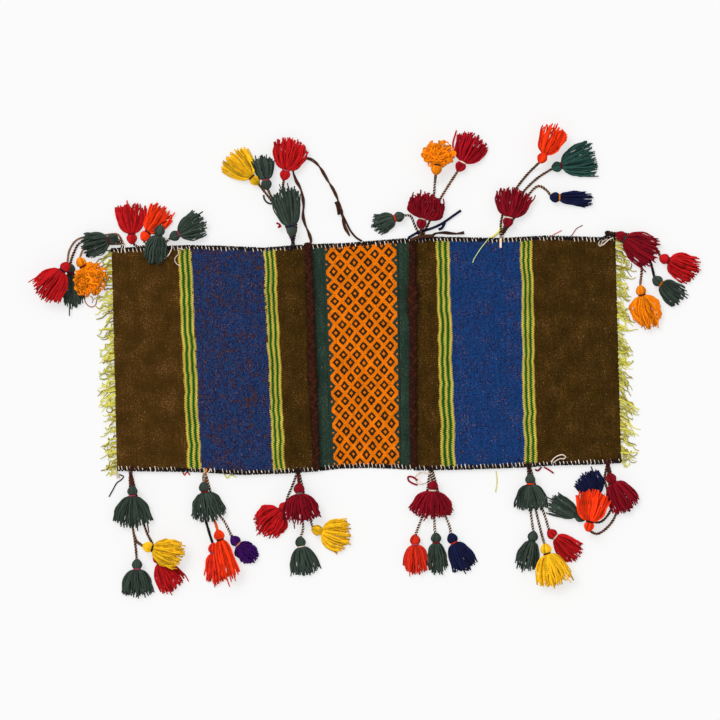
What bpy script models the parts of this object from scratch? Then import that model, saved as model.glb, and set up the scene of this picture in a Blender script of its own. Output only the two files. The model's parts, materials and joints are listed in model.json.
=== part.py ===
"""A two-pouch flat-woven saddlebag, laid flat with its pouch mouths facing the middle.

Metres, +Z up. X runs along the bag, Y across it, and the origin is the middle of the
woven cloth's underside, which lies on the floor at Z = 0.
"""

import math

import bmesh
import bpy
from mathutils import Vector

# The woven cloth
CLOTH_LENGTH = 1.120
CLOTH_WIDTH = 0.504
CLOTH_THICKNESS = 0.003
LEFT_POUCH_DEPTH = 0.447
RIGHT_POUCH_DEPTH = 0.458
POUCH_GAPE = 0.006

# Clearances
SEAT_GAP = 0.0003
FOLD_SETBACK = 0.0023

# Overcast side seams, mouth braids and end fringes
SEAM_WIDTH = 0.005
BRAID_WIDTH = 0.012
BRAID_HEIGHT = 0.006
FRINGE_LENGTH = 0.036
FRINGE_THICKNESS = 0.005
FRINGE_INSET = 0.010
FRINGE_TUFTS = 13

# Tassels and their cords
CORD_RADIUS = 0.0033
CORD_FAN = math.radians(52)
HEAD_RADIUS = 0.0115
NECK_RADIUS = 0.0075
SKIRT_THICKNESS = 0.019
CLUSTER_REACH = 0.2222
RISE_RUN = 0.022
CLOSING_CORD_RADIUS = 0.0033

# How far the bag is turned on the table that the tassel places were read from
LAY_TURN = math.radians(1.3)

# How the length of the fringe's tufts comes and goes from one to the next
TUFT_WAVE = math.radians(132)

# Sides of a cord or tassel, steps of a half-round and stretches between two points of a cord
SIDES = 8
FOLD_STEPS = 8
CURVE_STEPS = 2

SMOOTH_ANGLE = math.radians(50)
WOOL_ROUGHNESS = 0.9

# Sizes that follow from the ones above
HALF_LENGTH = CLOTH_LENGTH / 2
HALF_WIDTH = CLOTH_WIDTH / 2
LEFT_HINGE_X = LEFT_POUCH_DEPTH - HALF_LENGTH
RIGHT_HINGE_X = HALF_LENGTH - RIGHT_POUCH_DEPTH
POUCH_HEIGHT = 2 * CLOTH_THICKNESS + POUCH_GAPE
LAYER_HALF_WIDTH = HALF_WIDTH - SEAM_WIDTH - SEAT_GAP
ON_CORD = 2 * CORD_RADIUS + SEAT_GAP
ON_TASSEL = 2 * HEAD_RADIUS + SEAT_GAP
ON_CLOTH = POUCH_HEIGHT + SEAT_GAP
KNOT_RADIUS = POUCH_HEIGHT / 2
KNOT_SETBACK = SEAT_GAP + KNOT_RADIUS
CORD_SETBACK = KNOT_RADIUS + SEAT_GAP + CORD_RADIUS

COLOURS = {
    "brown": (0.085, 0.045, 0.014),
    "dark_brown": (0.035, 0.012, 0.006),
    "crimson": (0.300, 0.008, 0.020),
    "red": (0.480, 0.012, 0.014),
    "scarlet": (0.800, 0.035, 0.012),
    "orange": (0.900, 0.230, 0.005),
    "yellow": (0.780, 0.450, 0.015),
    "green": (0.022, 0.070, 0.060),
    "navy": (0.012, 0.014, 0.060),
    "purple": (0.060, 0.008, 0.170),
    "lime": (0.450, 0.480, 0.060),
    "black": (0.012, 0.010, 0.010),
    "lattice": (0.640, 0.180, 0.006),
}

# A skirt's outline from its neck: shares of its length, half width and thickness
SKIRT_SHARES = ((0.06, 0.42, 0.62), (0.40, 0.86, 1.00), (0.82, 1.00, 0.90), (1.00, 0.82, 0.50))
# A head's outline about its middle: shares of the head radius along and across
HEAD_SHARES = ((-0.85, 0.62), (0.0, 1.0), (0.70, 0.86))
# How far behind a head's middle its cord enters, as a share of the head radius
CORD_ENTRY_SHARE = 1.15
# The seam knot's outline: shares of its radius along and across
KNOT_SHARES = ((-0.92, 0.35), (-0.55, 0.78), (0.0, 0.94), (0.55, 0.78), (0.80, 0.60))
# Where a stem's rings stand between the knot and the head
STEM_SHARES = (0.0, 0.5, 1.0)
# A cord's rounded start: shares of its radius along and across
ROUND_START_SHARES = ((-1.0, 0.30), (-0.55, 0.85), (0.0, 1.0))
# The crown of a mouth braid: shares of its width across and of its height
CROWN_SHARES = ((0.0, 0.45), (0.18, 0.86), (0.5, 1.0), (0.82, 0.86), (1.0, 0.45))
# How much of a side seam's width its outer corners are cut back by
SEAM_CHAMFER_SHARE = 0.3
# A fringe's outline: how far its yarn reaches between two tufts and how much shorter its
# shortest tufts are, as shares of its length
FRINGE_VALLEY_SHARE = 0.72
FRINGE_UNEVEN_SHARE = 0.20
# Half a tuft's width at its root and at its tip, as shares of the pitch of the tufts
TUFT_ROOT_SHARE = 0.49
TUFT_TIP_SHARE = 0.22

# Every cluster of tassels: where its knot is tied to the seam, as a share of half the cloth's
# length, on the side seam that is top (+1) or bottom (-1), and the heading in degrees toward
# which it lies, which lifts when it swings. Each tassel then has its colour, what it lies on,
# the slot of the knot that its cord starts in, or its stem, or "bare" where only a stub of cord
# shows, its cord's way as shares of the cluster reach from the seam, its heading in degrees,
# and its skirt's width and length as shares of that reach. The last point of a way is the
# middle of the tassel's head.
CLUSTER_SHARES = {
    "top_1": (-0.955, 1, 209, (
        ("upper_tassel", "green", "cord", "stem", ((-0.105, 0.097),), 200, 0.27, 0.25),
        ("tassel_orange", "orange", "cloth", -1.7,
         ((-0.17, 0.012), (-0.30, 0.012), (-0.40, -0.03), (-0.425, -0.165)), 299, 0.30, 0.26),
        ("tassel_green", "green", "floor", -0.85,
         ((-0.20, 0.055), (-0.42, 0.03), (-0.50, -0.08), (-0.535, -0.24)), 272, 0.18, 0.30),
        ("tassel_red", "red", "tassel", 0,
         ((-0.06, 0.115), (-0.20, 0.11), (-0.44, 0.085), (-0.54, -0.03), (-0.575, -0.19)),
         232, 0.34, 0.32),
    )),
    "top_2": (-0.790, 1, 90, (
        ("upper_tassel", "green", "cord", "stem", ((0.104, 0.11),), 27, 0.32, 0.27),
        ("tassel_red", "red", "floor", -1.7,
         ((-0.14, 0.01), (-0.27, 0.01), (-0.335, 0.11)), 94, 0.32, 0.26),
        ("tassel_scarlet", "scarlet", "floor", -0.85,
         ((-0.10, 0.065), (-0.175, 0.05), (-0.18, 0.15)), 60, 0.25, 0.26),
        ("tassel_inner", "green", "cloth", "bare", ((-0.055, 0.12),), 258, 0.26, 0.23),
    )),
    "top_3": (-0.281, 1, 90, (
        ("upper_tassel", "green", "cord", "stem", ((-0.01, 0.155),), 102, 0.28, 0.33),
        ("tassel_yellow", "yellow", "floor", -1,
         ((-0.09, 0.20), (-0.195, 0.39), (-0.30, 0.54), (-0.395, 0.66)), 135, 0.34, 0.30),
        ("tassel_green", "green", "cord", 0,
         ((-0.03, 0.20), (-0.125, 0.38), (-0.205, 0.49), (-0.255, 0.635)), 102, 0.20, 0.22),
        ("tassel_red", "red", "cord", 1,
         ((0.03, 0.20), (-0.06, 0.42), (-0.10, 0.56), (-0.08, 0.715)), 84, 0.32, 0.29),
    )),
    "top_4": (0.228, 1, 90, (
        ("upper_tassel", "crimson", "cord", "stem", ((0.003, 0.145),), 68, 0.42, 0.26),
        ("tassel_green", "green", "floor", -1,
         ((-0.07, 0.13), (-0.12, 0.22), (-0.24, 0.21)), 208, 0.22, 0.23),
        ("tassel_orange", "orange", "tassel", 0,
         ((0.05, 0.20), (0.12, 0.40), (0.135, 0.55), (0.15, 0.69)), 80, 0.32, 0.27),
        ("tassel_red", "red", "floor", 1,
         ((0.09, 0.18), (0.18, 0.37), (0.27, 0.52), (0.39, 0.71)), 62, 0.34, 0.30),
    )),
    "top_5": (0.547, 1, 90, (
        ("upper_tassel", "crimson", "cord", "stem", ((0.062, 0.166),), 78, 0.36, 0.28),
        ("tassel_scarlet", "scarlet", "tassel", -1,
         ((0.01, 0.22), (0.12, 0.45), (0.25, 0.63), (0.40, 0.80)), 66, 0.26, 0.31),
        ("tassel_green", "green", "floor", 0,
         ((0.07, 0.20), (0.18, 0.41), (0.34, 0.585), (0.55, 0.715)), 15, 0.38, 0.33),
        ("tassel_navy", "navy", "floor", 1,
         ((0.12, 0.18), (0.23, 0.37), (0.35, 0.505), (0.44, 0.475), (0.53, 0.40)), -5, 0.18, 0.33),
    )),
    "top_6": (0.965, 1, -31, (
        ("upper_tassel", "crimson", "cord", "stem", ((0.137, 0.03),), -34, 0.34, 0.28),
        ("tassel_red", "red", "floor", 0,
         ((0.06, 0.12), (0.14, 0.13), (0.31, 0.115), (0.47, -0.01), (0.60, -0.22)), -24, 0.30, 0.29),
        ("tassel_green", "green", "floor", 0.85,
         ((0.12, 0.075), (0.29, 0.06), (0.405, -0.08), (0.43, -0.28), (0.50, -0.43)), -38, 0.25, 0.25),
        ("tassel_orange", "orange", "cord", 1.7,
         ((0.14, 0.03), (0.27, 0.01), (0.35, -0.10), (0.365, -0.30), (0.35, -0.53)), 281, 0.33, 0.33),
    )),
    "bottom_1": (-0.944, -1, 270, (
        ("upper_tassel", "green", "cord", "stem", ((0.017, -0.207),), 274, 0.41, 0.28),
        ("tassel_pair", "green", "floor", -1,
         ((0.0, -0.40), (0.04, -0.70), (0.06, -0.94)), 270, 0.30, 0.26),
        ("tassel_red", "red", "floor", 1,
         ((0.10, -0.40), (0.16, -0.60), (0.22, -0.73), (0.27, -0.875)), 296, 0.33, 0.30),
    )),
    "bottom_2": (-0.651, -1, 270, (
        ("upper_tassel", "green", "cord", "stem", ((-0.006, -0.157),), 285, 0.36, 0.27),
        ("tassel_red", "red", "floor", -1,
         ((-0.01, -0.38), (0.035, -0.60), (0.08, -0.78)), 272, 0.24, 0.28),
        ("tassel_scarlet", "scarlet", "tassel", 0,
         ((0.045, -0.36), (0.10, -0.50), (0.147, -0.645)), 286, 0.22, 0.37),
        ("tassel_purple", "purple", "floor", 1,
         ((0.11, -0.36), (0.20, -0.50), (0.31, -0.70)), 316, 0.23, 0.23),
    )),
    "bottom_3": (-0.281, -1, 270, (
        ("upper_tassel", "crimson", "tassel", "stem", ((0.013, -0.17),), 268, 0.44, 0.25),
        ("tassel_red", "red", "floor", -1,
         ((-0.06, -0.16), (-0.10, -0.26), (-0.135, -0.37)), 215, 0.32, 0.26),
        ("tassel_green", "green", "floor", 0,
         ((0.03, -0.35), (0.05, -0.55), (0.025, -0.69)), 280, 0.31, 0.28),
        ("tassel_yellow", "yellow", "floor", 1,
         ((0.09, -0.35), (0.13, -0.50), (0.19, -0.57)), -18, 0.34, 0.31),
    )),
    "bottom_4": (0.247, -1, 270, (
        ("upper_tassel", "crimson", "cord", "stem", ((0.019, -0.17),), 270, 0.46, 0.27),
        ("tassel_scarlet", "scarlet", "floor", -1,
         ((-0.07, -0.40), (-0.14, -0.60), (-0.17, -0.715)), 267, 0.25, 0.28),
        ("tassel_green", "green", "floor", 0,
         ((0.03, -0.40), (0.04, -0.60), (0.055, -0.695)), 270, 0.20, 0.30),
        ("tassel_navy", "navy", "floor", 1,
         ((0.12, -0.40), (0.19, -0.58), (0.22, -0.70)), 294, 0.27, 0.29),
    )),
    "bottom_5": (0.636, -1, 270, (
        ("upper_tassel", "green", "cord", "stem", ((0.009, -0.14),), 266, 0.36, 0.25),
        ("tassel_green", "green", "floor", -1,
         ((0.0, -0.35), (0.02, -0.55), (0.025, -0.70)), 258, 0.24, 0.27),
        ("tassel_yellow", "yellow", "tassel", 0,
         ((0.055, -0.38), (0.10, -0.58), (0.135, -0.72), (0.165, -0.83)), 283, 0.38, 0.30),
        ("tassel_red", "red", "floor", 1,
         ((0.11, -0.35), (0.17, -0.53), (0.235, -0.68)), 318, 0.27, 0.29),
    )),
    "bottom_6": (0.948, -1, 270, (
        ("upper_tassel", "crimson", "cord", "stem", ((0.03, -0.155),), 303, 0.32, 0.28),
        ("tassel_navy", "navy", "floor", -1,
         ((-0.04, -0.15), (-0.02, -0.30), (-0.03, -0.40), (-0.11, -0.345)), 126, 0.28, 0.24),
        ("tassel_green", "green", "floor", 0,
         ((0.02, -0.30), (0.03, -0.45), (-0.08, -0.58), (-0.28, -0.53)), 152, 0.22, 0.26),
        ("tassel_scarlet", "scarlet", "tassel", 1,
         ((0.08, -0.30), (0.09, -0.47), (0.02, -0.61), (-0.10, -0.70), (-0.19, -0.62)), 83, 0.36, 0.29),
    )),
}

# The yellow tassel that branches off the green one's cord in the first bottom cluster: its
# colour, level, way, heading, width and length, as above
BRANCH_TASSEL_SHARES = (
    "yellow", "tassel", ((0.035, -0.66), (0.09, -0.73), (0.178, -0.765)), -18, 0.35, 0.28,
)
BRANCH_PLACE = "bottom_1"
BRANCH_CARRIER = "tassel_pair"

# The cluster whose tassels lie over the left closing cord and carry it
LEFT_CLOSING_CARRIER = "top_3"
# How thin a closing cord's ends are sewn, as a share of its radius
SEWN_END_SHARE = 0.55
# The closing cords of the two mouths: where each leaves the top seam, as a share of half the
# cloth's length, and its way from there as shares of the cluster reach
LEFT_CLOSING_SEAM_SHARE = -0.209
LEFT_CLOSING_SHARES = (
    (-0.02, 0.07), (-0.075, 0.22), (-0.075, 0.38), (-0.10, 0.51), (-0.15, 0.61),
    (-0.18, 0.71), (-0.15, 0.82), (-0.05, 0.865), (0.03, 0.83), (0.10, 0.74), (0.17, 0.60),
    (0.24, 0.48), (0.30, 0.32), (0.36, 0.16), (0.44, 0.0),
)
RIGHT_CLOSING_SEAM_SHARE = 0.264
RIGHT_CLOSING_SHARES = ((0.05, 0.045), (0.14, 0.055), (0.25, 0.045), (0.34, 0.055))

LEVELS = {"floor": 0, "cord": ON_CORD, "cloth": ON_CLOTH, "tassel": ON_TASSEL}


def clear_scene():
    """Remove every object that is in the scene."""
    for old in list(bpy.data.objects):
        bpy.data.objects.remove(old, do_unlink=True)


def yarn_material(colour):
    """The matt wool of one dye."""
    name = f"wool_{colour}"
    found = bpy.data.materials.get(name)
    if found:
        return found
    wool = bpy.data.materials.new(name)
    wool.use_nodes = True
    shader = wool.node_tree.nodes["Principled BSDF"]
    shader.inputs["Base Color"].default_value = (*COLOURS[colour], 1.0)
    shader.inputs["Roughness"].default_value = WOOL_ROUGHNESS
    shader.inputs["Metallic"].default_value = 0.0
    return wool


def placed(name, mesh, colour):
    """Put a mesh in the scene as one named piece of wool."""
    piece = bpy.data.objects.new(name, mesh)
    bpy.context.scene.collection.objects.link(piece)
    mesh.materials.append(yarn_material(colour))
    mesh.shade_smooth()
    mesh.set_sharp_from_angle(angle=SMOOTH_ANGLE)
    return piece


def mesh_from(name, build):
    """Fill a bmesh with build, turn its faces outward and return it as a mesh."""
    work = bmesh.new()
    build(work)
    bmesh.ops.recalc_face_normals(work, faces=work.faces)
    mesh = bpy.data.meshes.new(name)
    work.to_mesh(mesh)
    work.free()
    return mesh


def extruded(name, outline, direction, colour):
    """A flat outline of points pushed along a direction into a solid."""
    def build(work):
        face = work.faces.new([work.verts.new(point) for point in outline])
        grown = bmesh.ops.extrude_face_region(work, geom=[face])
        moved = [item for item in grown["geom"] if isinstance(item, bmesh.types.BMVert)]
        bmesh.ops.translate(work, verts=moved, vec=direction)
    return placed(name, mesh_from(name, build), colour)


def arc(centre_x, centre_z, radius, start, end):
    """Points on a half-round in the X-Z plane, as (x, z)."""
    angles = [start + (end - start) * i / FOLD_STEPS for i in range(FOLD_STEPS + 1)]
    return [(centre_x + radius * math.cos(a), centre_z + radius * math.sin(a)) for a in angles]


def hinge_empty(name, middle, axis):
    """An empty on a joint, with its X axis along the line that the joint turns about."""
    empty = bpy.data.objects.new(name, None)
    bpy.context.scene.collection.objects.link(empty)
    empty.rotation_mode = "QUATERNION"
    empty.rotation_quaternion = axis.to_track_quat("X", "Z")
    empty.location = middle
    empty.empty_display_size = HEAD_RADIUS
    return empty


def carry(piece, carrier):
    """Hang a piece from its carrier without moving it."""
    bpy.context.view_layer.update()
    piece.parent = carrier
    piece.matrix_parent_inverse = carrier.matrix_world.inverted()


def swing_axis(heading):
    """The flat line about which what lies toward a heading lifts."""
    outward = unit(heading)
    return Vector((outward.y, -outward.x, 0))


def bridge_cloth():
    """The single layer between the two mouths, rounded along both fold lines."""
    half = CLOTH_THICKNESS / 2
    left = arc(LEFT_HINGE_X, half, half, math.pi / 2, 3 * math.pi / 2)
    right = arc(RIGHT_HINGE_X, half, half, -math.pi / 2, math.pi / 2)
    outline = [Vector((x, -HALF_WIDTH, z)) for x, z in left + right]
    return extruded("bridge_cloth", outline, Vector((0, CLOTH_WIDTH, 0)), "lattice")


def pouch_cloth(name, side, depth):
    """The back, the folded end and the front of one pouch, as one bent length of cloth."""
    half = CLOTH_THICKNESS / 2
    hinge_x = side * (HALF_LENGTH - depth)
    back_x = hinge_x + side * (half + SEAT_GAP)
    mouth_x = hinge_x + side * (FOLD_SETBACK + BRAID_WIDTH + SEAT_GAP)
    outer = POUCH_HEIGHT / 2
    inner = POUCH_GAPE / 2
    fold_x = side * (HALF_LENGTH - outer)
    round_out = arc(0, outer, outer, -math.pi / 2, math.pi / 2)
    round_in = arc(0, outer, inner, math.pi / 2, -math.pi / 2)
    profile = [(back_x, 0)]
    profile += [(fold_x + side * x, z) for x, z in round_out]
    profile += [(mouth_x, POUCH_HEIGHT), (mouth_x, POUCH_HEIGHT - CLOTH_THICKNESS)]
    profile += [(fold_x + side * x, z) for x, z in round_in]
    profile += [(back_x, CLOTH_THICKNESS)]
    outline = [Vector((x, -LAYER_HALF_WIDTH, z)) for x, z in profile]
    return extruded(name, outline, Vector((0, 2 * LAYER_HALF_WIDTH, 0)), "brown")


def mouth_braid(name, side, depth):
    """The thick wool braid sewn along the mouth edge of a pouch's front."""
    near_x = side * (HALF_LENGTH - depth) + side * FOLD_SETBACK
    low = POUCH_HEIGHT - CLOTH_THICKNESS
    profile = [(near_x + side * BRAID_WIDTH, low), (near_x, low)]
    profile += [
        (near_x + side * BRAID_WIDTH * across, low + BRAID_HEIGHT * up)
        for across, up in CROWN_SHARES
    ]
    outline = [Vector((x, -LAYER_HALF_WIDTH, z)) for x, z in profile]
    return extruded(name, outline, Vector((0, 2 * LAYER_HALF_WIDTH, 0)), "dark_brown")


def side_seam(name, side, depth, edge):
    """The overcast yarn that closes one side of a pouch, from its mouth to its fold."""
    near_x = side * (HALF_LENGTH - depth) + side * FOLD_SETBACK
    far_x = side * HALF_LENGTH
    out_y = edge * HALF_WIDTH
    in_y = edge * (HALF_WIDTH - SEAM_WIDTH)
    chamfer = SEAM_WIDTH * SEAM_CHAMFER_SHARE
    chamfer_y = out_y - edge * chamfer
    profile = [
        (in_y, 0), (chamfer_y, 0), (out_y, chamfer),
        (out_y, POUCH_HEIGHT - chamfer), (chamfer_y, POUCH_HEIGHT), (in_y, POUCH_HEIGHT),
    ]
    outline = [Vector((near_x, y, z)) for y, z in profile]
    return extruded(name, outline, Vector((far_x - near_x, 0, 0)), "black")


def end_fringe(name, side):
    """The knotted yarn fringe along the folded end of a pouch, in tufts."""
    root_x = side * (HALF_LENGTH + SEAT_GAP)
    half = HALF_WIDTH - FRINGE_INSET
    pitch = 2 * half / FRINGE_TUFTS
    outline = [Vector((root_x, -half, 0)), Vector((root_x, half, 0))]
    valley = FRINGE_LENGTH * FRINGE_VALLEY_SHARE
    for i in range(FRINGE_TUFTS):
        middle = half - pitch * (i + 0.5)
        lost_share = FRINGE_UNEVEN_SHARE * (1 - math.cos(TUFT_WAVE * i)) / 2
        reach = FRINGE_LENGTH * (1 - lost_share)
        tuft = (
            (valley, TUFT_ROOT_SHARE), (reach, TUFT_TIP_SHARE),
            (reach, -TUFT_TIP_SHARE), (valley, -TUFT_ROOT_SHARE),
        )
        outline += [Vector((root_x + side * x, middle + pitch * y, 0)) for x, y in tuft]
    return extruded(name, outline, Vector((0, 0, FRINGE_THICKNESS)), "lime")


def unit(degrees):
    """The flat direction at an angle from +X."""
    angle = math.radians(degrees)
    return Vector((math.cos(angle), math.sin(angle)))


def seam_point(share, edge):
    """Where a loose cord leaves a side seam: the middle of its rounded start."""
    return Vector((share * HALF_LENGTH, edge * (HALF_WIDTH + SEAT_GAP + CORD_RADIUS)))


def knot_point(share, edge):
    """The middle of the knot that ties a cluster to a side seam, on the cluster's hinge line."""
    return Vector((share * HALF_LENGTH, edge * (HALF_WIDTH + KNOT_SETBACK)))


def from_seam(anchor, shares):
    """A place read from the table, as a flat point."""
    x, y = shares
    turned = Vector((x * math.cos(LAY_TURN) + y * math.sin(LAY_TURN),
                     y * math.cos(LAY_TURN) - x * math.sin(LAY_TURN)))
    return anchor + turned * CLUSTER_REACH


def smooth_way(points, steps):
    """A smooth curve through flat points, with steps stretches between each two."""
    ends = [2 * points[0] - points[1], *points, 2 * points[-1] - points[-2]]
    way = []
    for a, b, c, d in zip(ends, ends[1:], ends[2:], ends[3:]):
        for i in range(steps):
            t = i / steps
            bend = 2 * a - 5 * b + 4 * c - d
            twist = 3 * b - a - 3 * c + d
            way.append(b + ((c - a) * t + bend * t ** 2 + twist * t ** 3) / 2)
    return way + [points[-1]]


def ring(work, middle, along, half_width, half_height):
    """One eight-sided ring across a direction, with flats at its half sizes."""
    across = Vector((-along.y, along.x, 0))
    corner = 1 / math.cos(math.pi / SIDES)
    verts = []
    for i in range(SIDES):
        angle = (i + 0.5) * 2 * math.pi / SIDES
        reach_out = corner * math.cos(angle) * half_width
        reach_up = corner * math.sin(angle) * half_height
        verts.append(work.verts.new(middle + across * reach_out + Vector((0, 0, reach_up))))
    return verts


def lofted(name, rings):
    """One closed skin over rings of (flat middle, flat direction, half width, half height, base)."""
    def build(work):
        loops = [
            ring(work, Vector((p.x, p.y, base + high)), along, wide, high)
            for p, along, wide, high, base in rings
        ]
        for a, b in zip(loops, loops[1:]):
            for i in range(SIDES):
                j = (i + 1) % SIDES
                work.faces.new((a[i], a[j], b[j], b[i]))
        work.faces.new(loops[0])
        work.faces.new(loops[-1])
    return mesh_from(name, build)


def smooth_step(share):
    """An even rise from 0 to 1."""
    held = min(1.0, max(0.0, share))
    return held * held * (3 - 2 * held)


def way_rings(way, radius, end_base):
    """Rings along a cord that lies on the floor and rises to a head over its last stretch."""
    left_to_go = [0.0]
    for a, b in zip(reversed(way[:-1]), reversed(way[1:])):
        left_to_go.append(left_to_go[-1] + (b - a).length)
    left_to_go.reverse()
    rings = []
    for i in range(1, len(way)):
        after = way[min(i + 1, len(way) - 1)]
        along = (after - way[i - 1]).normalized()
        base = end_base * smooth_step(1 - left_to_go[i] / RISE_RUN)
        rings.append((way[i], along, radius, radius, base))
    return rings


def cord_rings(points, radius, end_base):
    """Rings along a cord with a rounded start."""
    way = smooth_way(points, CURVE_STEPS)
    first = (way[1] - way[0]).normalized()
    rings = [
        (way[0] + first * radius * along, first, radius * across, radius * across,
         radius * (1 - across))
        for along, across in ROUND_START_SHARES
    ]
    return rings + way_rings(way, radius, end_base)


def stub_rings(entry, along, base):
    """Rings of the rounded stub of cord behind a head."""
    return [
        (entry + along * CORD_RADIUS * forward, along, CORD_RADIUS * across,
         CORD_RADIUS * across, base + CORD_RADIUS * (1 - across))
        for forward, across in ROUND_START_SHARES
    ]


def stem_rings(knot, head, end_base):
    """Rings of the seam knot and of the short stem that climbs from it to the upper head."""
    along = (head - knot).normalized()
    rings = [
        (knot + along * KNOT_RADIUS * forward, along, KNOT_RADIUS * across,
         KNOT_RADIUS * across, KNOT_RADIUS * (1 - across))
        for forward, across in KNOT_SHARES
    ]
    start = knot + along * KNOT_RADIUS
    for share in STEM_SHARES:
        base = ON_CORD + (end_base - ON_CORD) * share
        rings.append((start.lerp(head, share), along, CORD_RADIUS, CORD_RADIUS, base))
    return rings


def tassel_rings(head, heading, base, width, length):
    """Rings of a wound head, its bound neck and the skirt that spreads from it."""
    along = unit(heading)
    rings = []
    for forward, across in HEAD_SHARES:
        radius = HEAD_RADIUS * across
        rings.append((head + along * HEAD_RADIUS * forward, along, radius, radius,
                      base + HEAD_RADIUS - radius))
    neck = head + along * HEAD_RADIUS
    rings.append((neck, along, NECK_RADIUS, NECK_RADIUS, base + HEAD_RADIUS - NECK_RADIUS))
    for forward, across, thick in SKIRT_SHARES:
        wide = max(NECK_RADIUS, width / 2 * across)
        rings.append((neck + along * length * forward, along, wide,
                      SKIRT_THICKNESS / 2 * thick, base))
    return rings


def tassel_mesh(name, share, edge, slot, level, way_shares, heading, width_share, length_share):
    """A tassel with the cord or stem that ties it to the seam, as one skin."""
    seam = seam_point(share, edge)
    knot = knot_point(share, edge)
    head = from_seam(seam, way_shares[-1])
    entry = head - unit(heading) * HEAD_RADIUS * CORD_ENTRY_SHARE
    base = LEVELS[level]
    end_base = base + HEAD_RADIUS - CORD_RADIUS
    if slot == "stem":
        rings = stem_rings(knot, entry, end_base)
    elif slot == "bare":
        rings = stub_rings(entry, unit(heading), end_base)
    else:
        fan = slot * CORD_FAN
        start = knot + Vector((math.sin(fan), edge * math.cos(fan))) * CORD_SETBACK
        points = [start] + [from_seam(seam, shares) for shares in way_shares[:-1]] + [entry]
        rings = cord_rings(points, CORD_RADIUS, end_base)
    rings += tassel_rings(head, heading, base,
                          width_share * CLUSTER_REACH, length_share * CLUSTER_REACH)
    return lofted(name, rings)


def branch_rings(share, edge):
    """Rings of the tassel that branches off another one's cord."""
    _, level, way_shares, heading, width_share, length_share = BRANCH_TASSEL_SHARES
    seam = seam_point(share, edge)
    head = from_seam(seam, way_shares[-1])
    entry = head - unit(heading) * HEAD_RADIUS * CORD_ENTRY_SHARE
    points = [from_seam(seam, shares) for shares in way_shares[:-1]] + [entry]
    base = LEVELS[level]
    rings = cord_rings(points, CORD_RADIUS, base + HEAD_RADIUS - CORD_RADIUS)
    return rings + tassel_rings(head, heading, base,
                                width_share * CLUSTER_REACH, length_share * CLUSTER_REACH)


def add_branch(carrier, share, edge):
    """Unite the branching tassel with the one whose cord carries it."""
    mesh = lofted("branch_guide", branch_rings(share, edge))
    guide = placed("branch_guide", mesh, BRANCH_TASSEL_SHARES[0])
    guide.hide_render = True
    guide.display_type = "WIRE"
    union = carrier.modifiers.new("branch", "BOOLEAN")
    union.operation = "UNION"
    union.solver = "EXACT"
    union.object = guide


def tassel_cluster(place, pouch_hinges):
    """The upper tassel of a cluster and the tassels that hang below it on their cords."""
    share, edge, swing, tassels = CLUSTER_SHARES[place]
    knot = knot_point(share, edge)
    hinge = hinge_empty(f"{place}_swing", Vector((knot.x, knot.y, KNOT_RADIUS)), swing_axis(swing))
    carry(hinge, pouch_hinges[math.copysign(1, share)])
    for part, colour, level, slot, way_shares, heading, width_share, length_share in tassels:
        name = f"{place}_{part}"
        mesh = tassel_mesh(name, share, edge, slot, level, way_shares, heading,
                           width_share, length_share)
        tassel = placed(name, mesh, colour)
        carry(tassel, hinge)
        if (place, part) == (BRANCH_PLACE, BRANCH_CARRIER):
            add_branch(tassel, share, edge)
    return hinge


def closing_cord(name, share, way_shares):
    """A doubled wool cord that ties a mouth shut, lying loose beside the top seam."""
    sewn = Vector((share * HALF_LENGTH, HALF_WIDTH + SEAT_GAP, KNOT_RADIUS))
    sewn_out = sewn + Vector((0, CLOSING_CORD_RADIUS, 0))
    lying = [from_seam(seam_point(share, 1), shares).to_3d() for shares in way_shares]
    lift = Vector((0, 0, CLOSING_CORD_RADIUS))
    way = [sewn] + smooth_way([sewn_out] + [place + lift for place in lying], CURVE_STEPS)
    curve = bpy.data.curves.new(name, "CURVE")
    curve.dimensions = "3D"
    curve.bevel_depth = CLOSING_CORD_RADIUS
    curve.bevel_resolution = 2
    curve.use_fill_caps = True
    spline = curve.splines.new("POLY")
    spline.points.add(len(way) - 1)
    for point, place in zip(spline.points, way):
        point.co = (*place, 1)
    spline.points[0].radius = SEWN_END_SHARE
    spline.points[-1].radius = SEWN_END_SHARE
    cord = bpy.data.objects.new(name, curve)
    bpy.context.scene.collection.objects.link(cord)
    curve.materials.append(yarn_material("dark_brown"))
    return cord


def pouch(word, side, depth):
    """One pouch with its braid, seams and fringe, all hung from its fold line."""
    fold_line = Vector((side * (HALF_LENGTH - depth), 0, CLOTH_THICKNESS / 2))
    hinge = hinge_empty(f"{word}_fold", fold_line, Vector((0, -side, 0)))
    pieces = (
        pouch_cloth(f"{word}_pouch_cloth", side, depth),
        mouth_braid(f"{word}_mouth_braid", side, depth),
        side_seam(f"{word}_seam_top", side, depth, 1),
        side_seam(f"{word}_seam_bottom", side, depth, -1),
        end_fringe(f"{word}_fringe", side),
    )
    for piece in pieces:
        carry(piece, hinge)
    return hinge


def saddlebag():
    """Every piece of the bag, each as its own object."""
    clear_scene()
    bridge_cloth()
    hinges = {-1: pouch("left", -1, LEFT_POUCH_DEPTH), 1: pouch("right", 1, RIGHT_POUCH_DEPTH)}
    left_cord = closing_cord("left_closing_cord", LEFT_CLOSING_SEAM_SHARE, LEFT_CLOSING_SHARES)
    right_cord = closing_cord("right_closing_cord", RIGHT_CLOSING_SEAM_SHARE, RIGHT_CLOSING_SHARES)
    carry(right_cord, hinges[1])
    for place in CLUSTER_SHARES:
        hinge = tassel_cluster(place, hinges)
        if place == LEFT_CLOSING_CARRIER:
            carry(left_cord, hinge)


saddlebag()
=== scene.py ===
"""The looks of a flat-woven two-pouch saddlebag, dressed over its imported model.

Metres, +Z up. X runs along the bag, Y across it, and the bag lies on the floor at Z = 0.
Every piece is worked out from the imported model's boxes and joints and from the sizes below.
"""

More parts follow.
